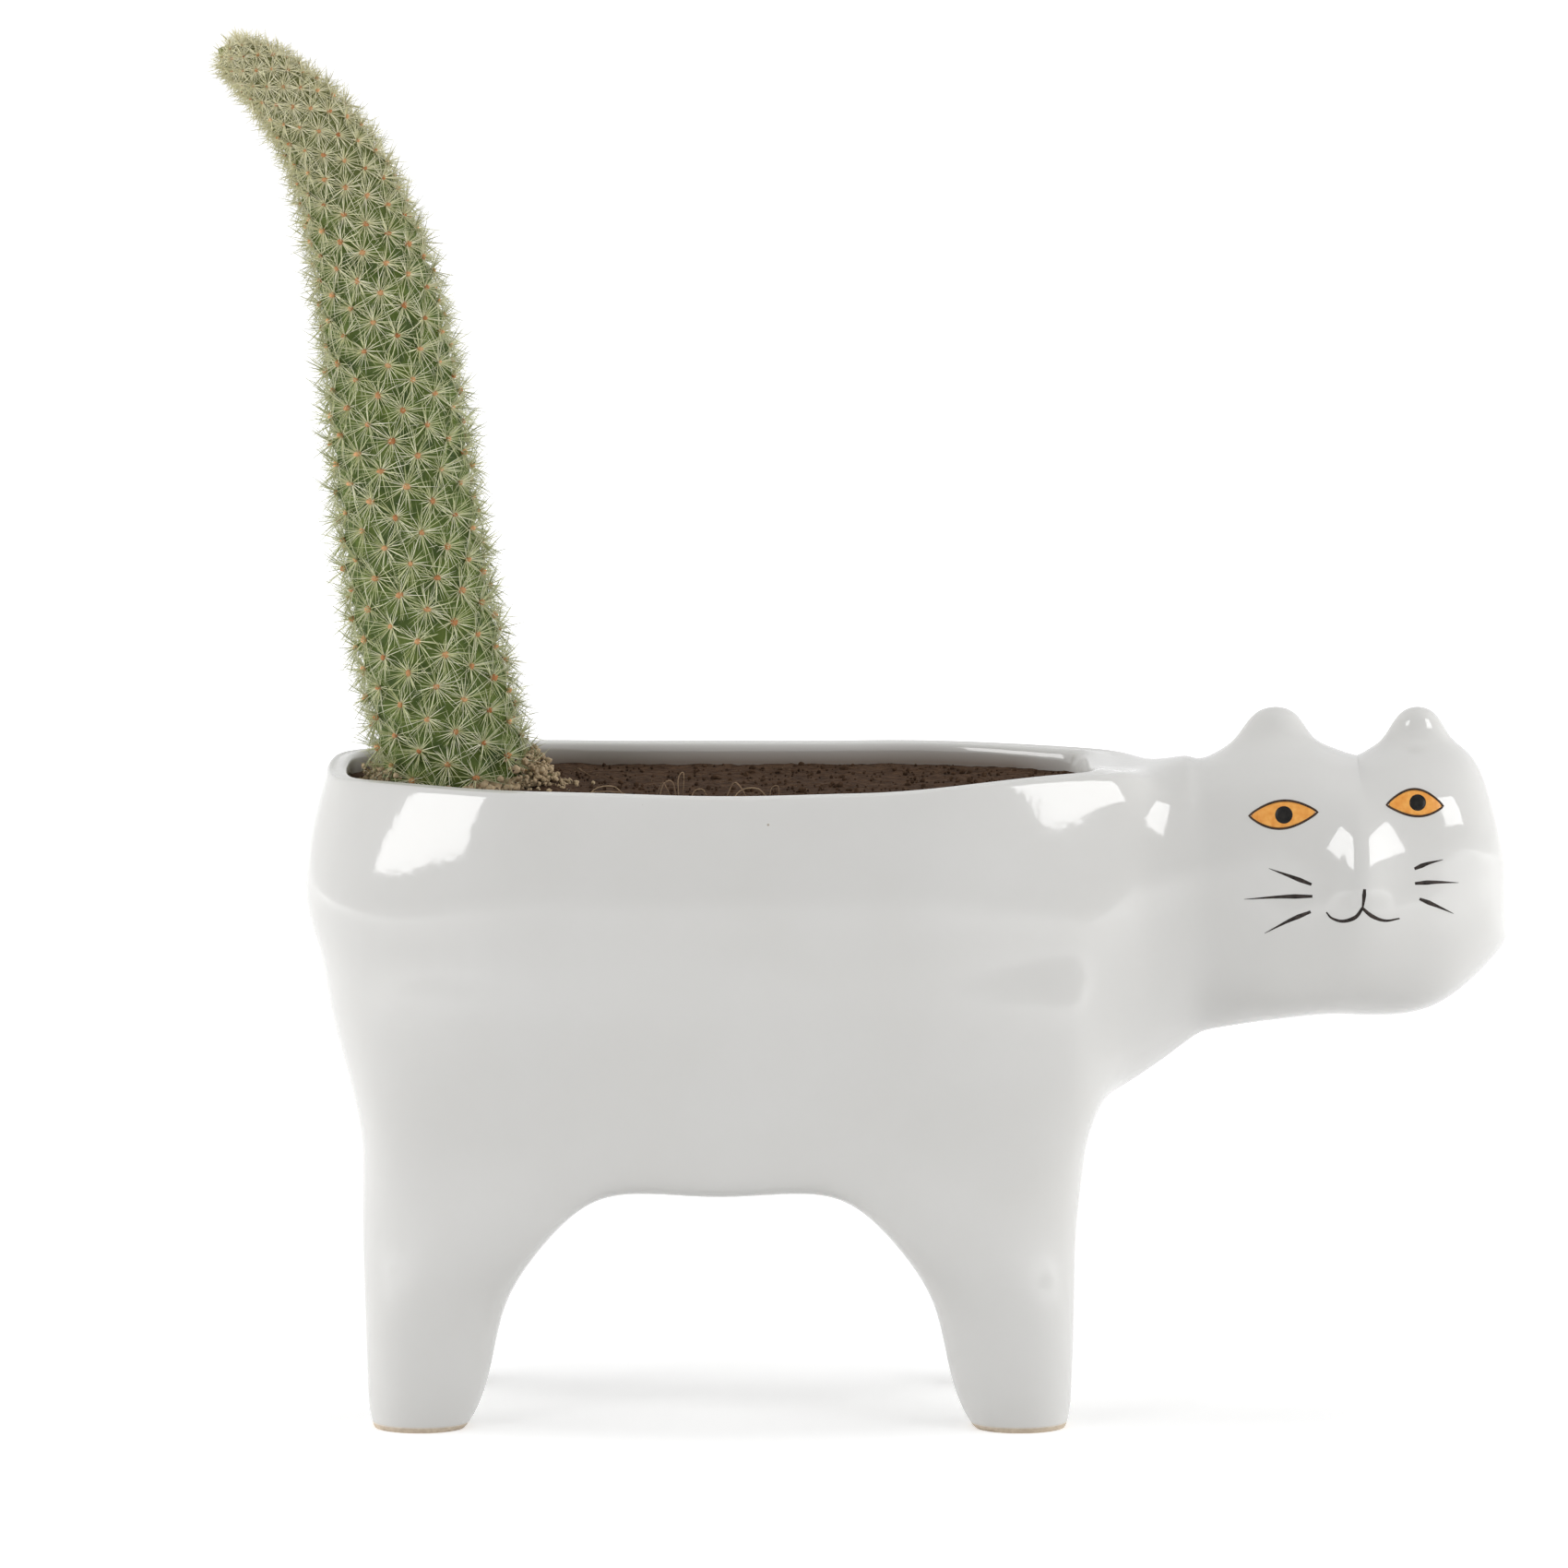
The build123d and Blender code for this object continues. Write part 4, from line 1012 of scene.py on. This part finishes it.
def spine_fans():
    needles, tufts = [], []
    for place, way, ahead, reach, radius in areoles:
        side = np.cross(way, ahead)
        grow = min(1.0, radius / 12.5)
        foot = place + way * 0.5 * grow
        count = int(rng.integers(26, 33))
        phase = rng.uniform(0, 2 * np.pi)
        for k in range(count):
            turn = phase + 2 * np.pi * (k + rng.uniform(-0.4, 0.4)) / count
            flat = ahead * math.cos(turn) + side * math.sin(turn)
            rise = math.radians(rng.uniform(8, 58))
            direction = flat * math.cos(rise) + way * math.sin(rise)
            length = rng.uniform(4.4, 8.6) * (0.38 + 0.62 * grow)
            needles.append(needle(foot, direction, length, rng.uniform(0.085, 0.125), -way * rng.uniform(0.0, 0.16)))
        for k in range(14):
            turn = rng.uniform(0, 2 * np.pi)
            flat = ahead * math.cos(turn) + side * math.sin(turn)
            start = place + flat * rng.uniform(0.6, 2.6) * grow
            direction = flat + way * rng.uniform(0.3, 1.4) + ahead * rng.uniform(-0.6, 0.6) + side * rng.uniform(-0.6, 0.6)
            direction /= np.linalg.norm(direction)
            needles.append(needle(start, direction, rng.uniform(2.6, 4.6) * grow, rng.uniform(0.06, 0.09), flat * rng.uniform(-0.1, 0.1)))
        for k in range(int(rng.integers(2, 5))):
            lean = rng.normal(0, 0.4, 2)
            direction = way + ahead * (lean[0] + 0.2) + side * lean[1]
            direction /= np.linalg.norm(direction)
            length = rng.uniform(3.0, 5.2) * (0.4 + 0.6 * grow)
            needles.append(needle(foot, direction, length, rng.uniform(0.08, 0.12), ahead * rng.uniform(-0.1, 0.1)))
        tufts.append(crumb(place + way * 1.0 * grow, rng.uniform(0.62, 0.9) * (0.4 + 0.6 * grow)))
    return needles, tufts


add_piece("cactus_flesh", *cactus_flesh(), "plant", FLESH, "cactus_flesh", ("cactus_stem",))
needles, tufts = spine_fans()
add_piece("cactus_spine_fans", *joined(needles), "plant", SPINE, "cactus_spines", ("cactus_spines",), smooth=False)
add_piece("cactus_areoles", *joined(tufts), "plant", AREOLE, "cactus_spines")


# Root ball: rough cone of pale earth with a crumbly collar round the stem
def root_clump():
    rings, around = 60, 72
    points = []
    low, high = SOIL_TOP - 46.0, SOIL_TOP + 2.6
    profile = [(0.0, low)] + [(12.0 + 5.6 * t, low + (SOIL_TOP - low) * t) for t in np.linspace(0.02, 1, rings - 14)]
    profile += [(17.4 - 1.2 * t, SOIL_TOP + 2.4 * math.sin(t * np.pi / 2)) for t in np.linspace(0.15, 1, 7)]
    profile += [(16.0 - 8.0 * t, high - 2.6 * t) for t in np.linspace(0.1, 1, 6)]
    for radius, z in profile:
        for k in range(around):
            turn = 2 * np.pi * k / around
            x, y = math.cos(turn), math.sin(turn)
            lump = noise.fractal(Vector((x * radius, y * radius, z)) * 0.35, 1.0, 2.0, 4)
            r = max(radius - 0.35 + 0.35 * lump, 0.02)
            points.append((PLANT_X + x * r, y * r, z + (0.5 * lump if z > SOIL_TOP + 0.2 else 0.0)))
    faces = []
    for step in range(len(profile) - 1):
        for k in range(around):
            a, b = step * around + k, step * around + (k + 1) % around
            faces.append((a, b, b + around, a + around))
    faces.append(tuple(reversed(range(around))))
    faces.append(tuple(range((len(profile) - 1) * around, len(profile) * around)))
    return points, faces


add_piece("root_clump", *root_clump(), "plant", CLUMP, "root_clump", ("root_ball",))
grit = []
for step in range(420):
    turn = rng.uniform(-1.4, 1.4) if step % 3 else rng.uniform(0, 2 * np.pi)
    reach = rng.uniform(13.8, 17.8)
    size = rng.choice((0.4, 0.6, 0.9, 1.3), p=(0.35, 0.3, 0.25, 0.1))
    heap = (1.8 + 0.7 * math.cos(turn) * rng.uniform(0.2, 1.0)) * (1 - abs(reach - 15.2) / 6.0)
    grit.append(crumb((PLANT_X + reach * math.cos(turn), reach * math.sin(turn), SOIL_TOP + 1.0 + max(heap, 0.3)), size))
pale = []
for step in range(420):
    turn = rng.normal(-0.12, 0.3)
    reach = 16.6 + abs(rng.normal(0, 3.2))
    size = rng.choice((0.3, 0.45, 0.65, 0.95), p=(0.35, 0.3, 0.25, 0.1))
    height = rng.uniform(0.1, 1.0) * max(9.0 - 1.25 * (reach - 16.6), 0.8)
    lump = crumb((PLANT_X + reach * math.cos(turn), reach * math.sin(turn), SOIL_TOP + 0.8 + height), size)
    (grit if reach + size < POCKET - 0.3 else pale).append(lump)
for step in range(120):
    turn = rng.uniform(2.2, 4.1)
    reach = rng.uniform(14.5, 17.4)
    grit.append(crumb((PLANT_X + reach * math.cos(turn), reach * math.sin(turn), SOIL_TOP + 1.0 + rng.uniform(0.5, 4.5)), rng.uniform(0.3, 0.8)))
add_piece("pale_crumbs", *joined(pale), "pot", CLUMP, "root_clump")
add_piece("root_crumbs", *joined(grit), "plant", CLUMP, "root_clump")


# Pieces that stay as they are in the solid, with their finish
for node, material in (("potting_soil", SOIL), ("drainage_pebbles", PEBBLE), ("drain_plug", RUBBER), ("drain_mesh", MESH)):
    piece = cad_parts[node]
    piece.data.materials.clear()
    piece.data.materials.append(material)


# Stage: pale floor, white surroundings and two softboxes
def floor_material():
    n = Nodes("floor")
    cloud = n.ramp(n.noise(3.0, 2.0), (0.3, (0.86, 0.86, 0.86)), (0.7, (0.88, 0.88, 0.88)))
    n.set(Base_Color=cloud, Roughness=0.9)
    path = n.add("ShaderNodeLightPath")
    seen = n.add("ShaderNodeMath", operation="MAXIMUM")
    n.link(path.outputs["Is Camera Ray"], seen.inputs[0])
    n.link(path.outputs["Is Glossy Ray"], seen.inputs[1])
    through_glass = n.add("ShaderNodeMath", operation="MAXIMUM")
    n.link(seen.outputs[0], through_glass.inputs[0])
    n.link(path.outputs["Is Transmission Ray"], through_glass.inputs[1])
    reach = n.add("ShaderNodeVectorMath", operation="LENGTH")
    n.link(n.coordinates, reach.inputs[0])
    glow = n.add("ShaderNodeMath", operation="MULTIPLY")
    n.link(through_glass.outputs[0], glow.inputs[0])
    n.link(n.span(reach.outputs["Value"], 0.15, 1.3, 0.42, 0.95), glow.inputs[1])
    n.set(Emission_Color=(1.0, 1.0, 1.0), Emission_Strength=glow.outputs[0])
    return n.material


floor_mesh = bpy.data.meshes.new("floor")
floor_mesh.from_pydata([(-8, -6, 0), (8, -6, 0), (8, 12, 0), (-8, 12, 0)], [], [(0, 1, 2, 3)])
floor = bpy.data.objects.new("floor", floor_mesh)
bpy.context.scene.collection.objects.link(floor)
floor_mesh.materials.append(floor_material())

world = bpy.data.worlds.new("studio")
bpy.context.scene.world = world
world.use_nodes = True
tree = world.node_tree
path = tree.nodes.new("ShaderNodeLightPath")
shown = tree.nodes.new("ShaderNodeMath")
shown.operation = "MAXIMUM"
tree.links.new(path.outputs["Is Camera Ray"], shown.inputs[0])
tree.links.new(path.outputs["Is Transmission Ray"], shown.inputs[1])
mirrored = tree.nodes.new("ShaderNodeMath")
mirrored.operation = "MAXIMUM"
tree.links.new(shown.outputs[0], mirrored.inputs[0])
tree.links.new(path.outputs["Is Glossy Ray"], mirrored.inputs[1])
strength = tree.nodes.new("ShaderNodeMapRange")
strength.inputs["To Min"].default_value = 0.12
strength.inputs["To Max"].default_value = 1.0
tree.links.new(mirrored.outputs[0], strength.inputs["Value"])
tree.nodes["Background"].inputs["Color"].default_value = (1.0, 1.0, 1.0, 1.0)
tree.links.new(strength.outputs["Result"], tree.nodes["Background"].inputs["Strength"])


def softbox(name, place, aim_at, width, height, power, mirrored=True):
    lamp = bpy.data.lights.new(name, "AREA")
    lamp.shape = "RECTANGLE"
    lamp.size = width
    lamp.size_y = height
    lamp.energy = power
    holder = bpy.data.objects.new(name, lamp)
    holder.visible_glossy = mirrored
    bpy.context.scene.collection.objects.link(holder)
    towards = Vector(aim_at) - Vector(place)
    holder.matrix_world = Matrix.Translation(Vector(place)) @ towards.to_track_quat("-Z", "Y").to_matrix().to_4x4()


softbox("softbox_left", (-0.83, -0.91, 0.58), (0.0, 0.0, 0.1), 0.44, 0.56, 3.3)
softbox("softbox_right", (0.94, -0.79, 0.58), (0.05, 0.0, 0.1), 0.44, 0.56, 3.3)
softbox("wall_left", (-1.4, -0.15, 0.42), (0.0, 0.0, 0.1), 1.3, 0.8, 12.5, mirrored=False)
softbox("wall_right", (1.4, -0.15, 0.42), (0.0, 0.0, 0.1), 1.3, 0.8, 12.5, mirrored=False)
softbox("overhead", (0.0, 0.3, 1.6), (0.0, 0.0, 0.0), 1.4, 1.0, 9.0, mirrored=False)

bpy.context.scene.view_settings.view_transform = "Standard"
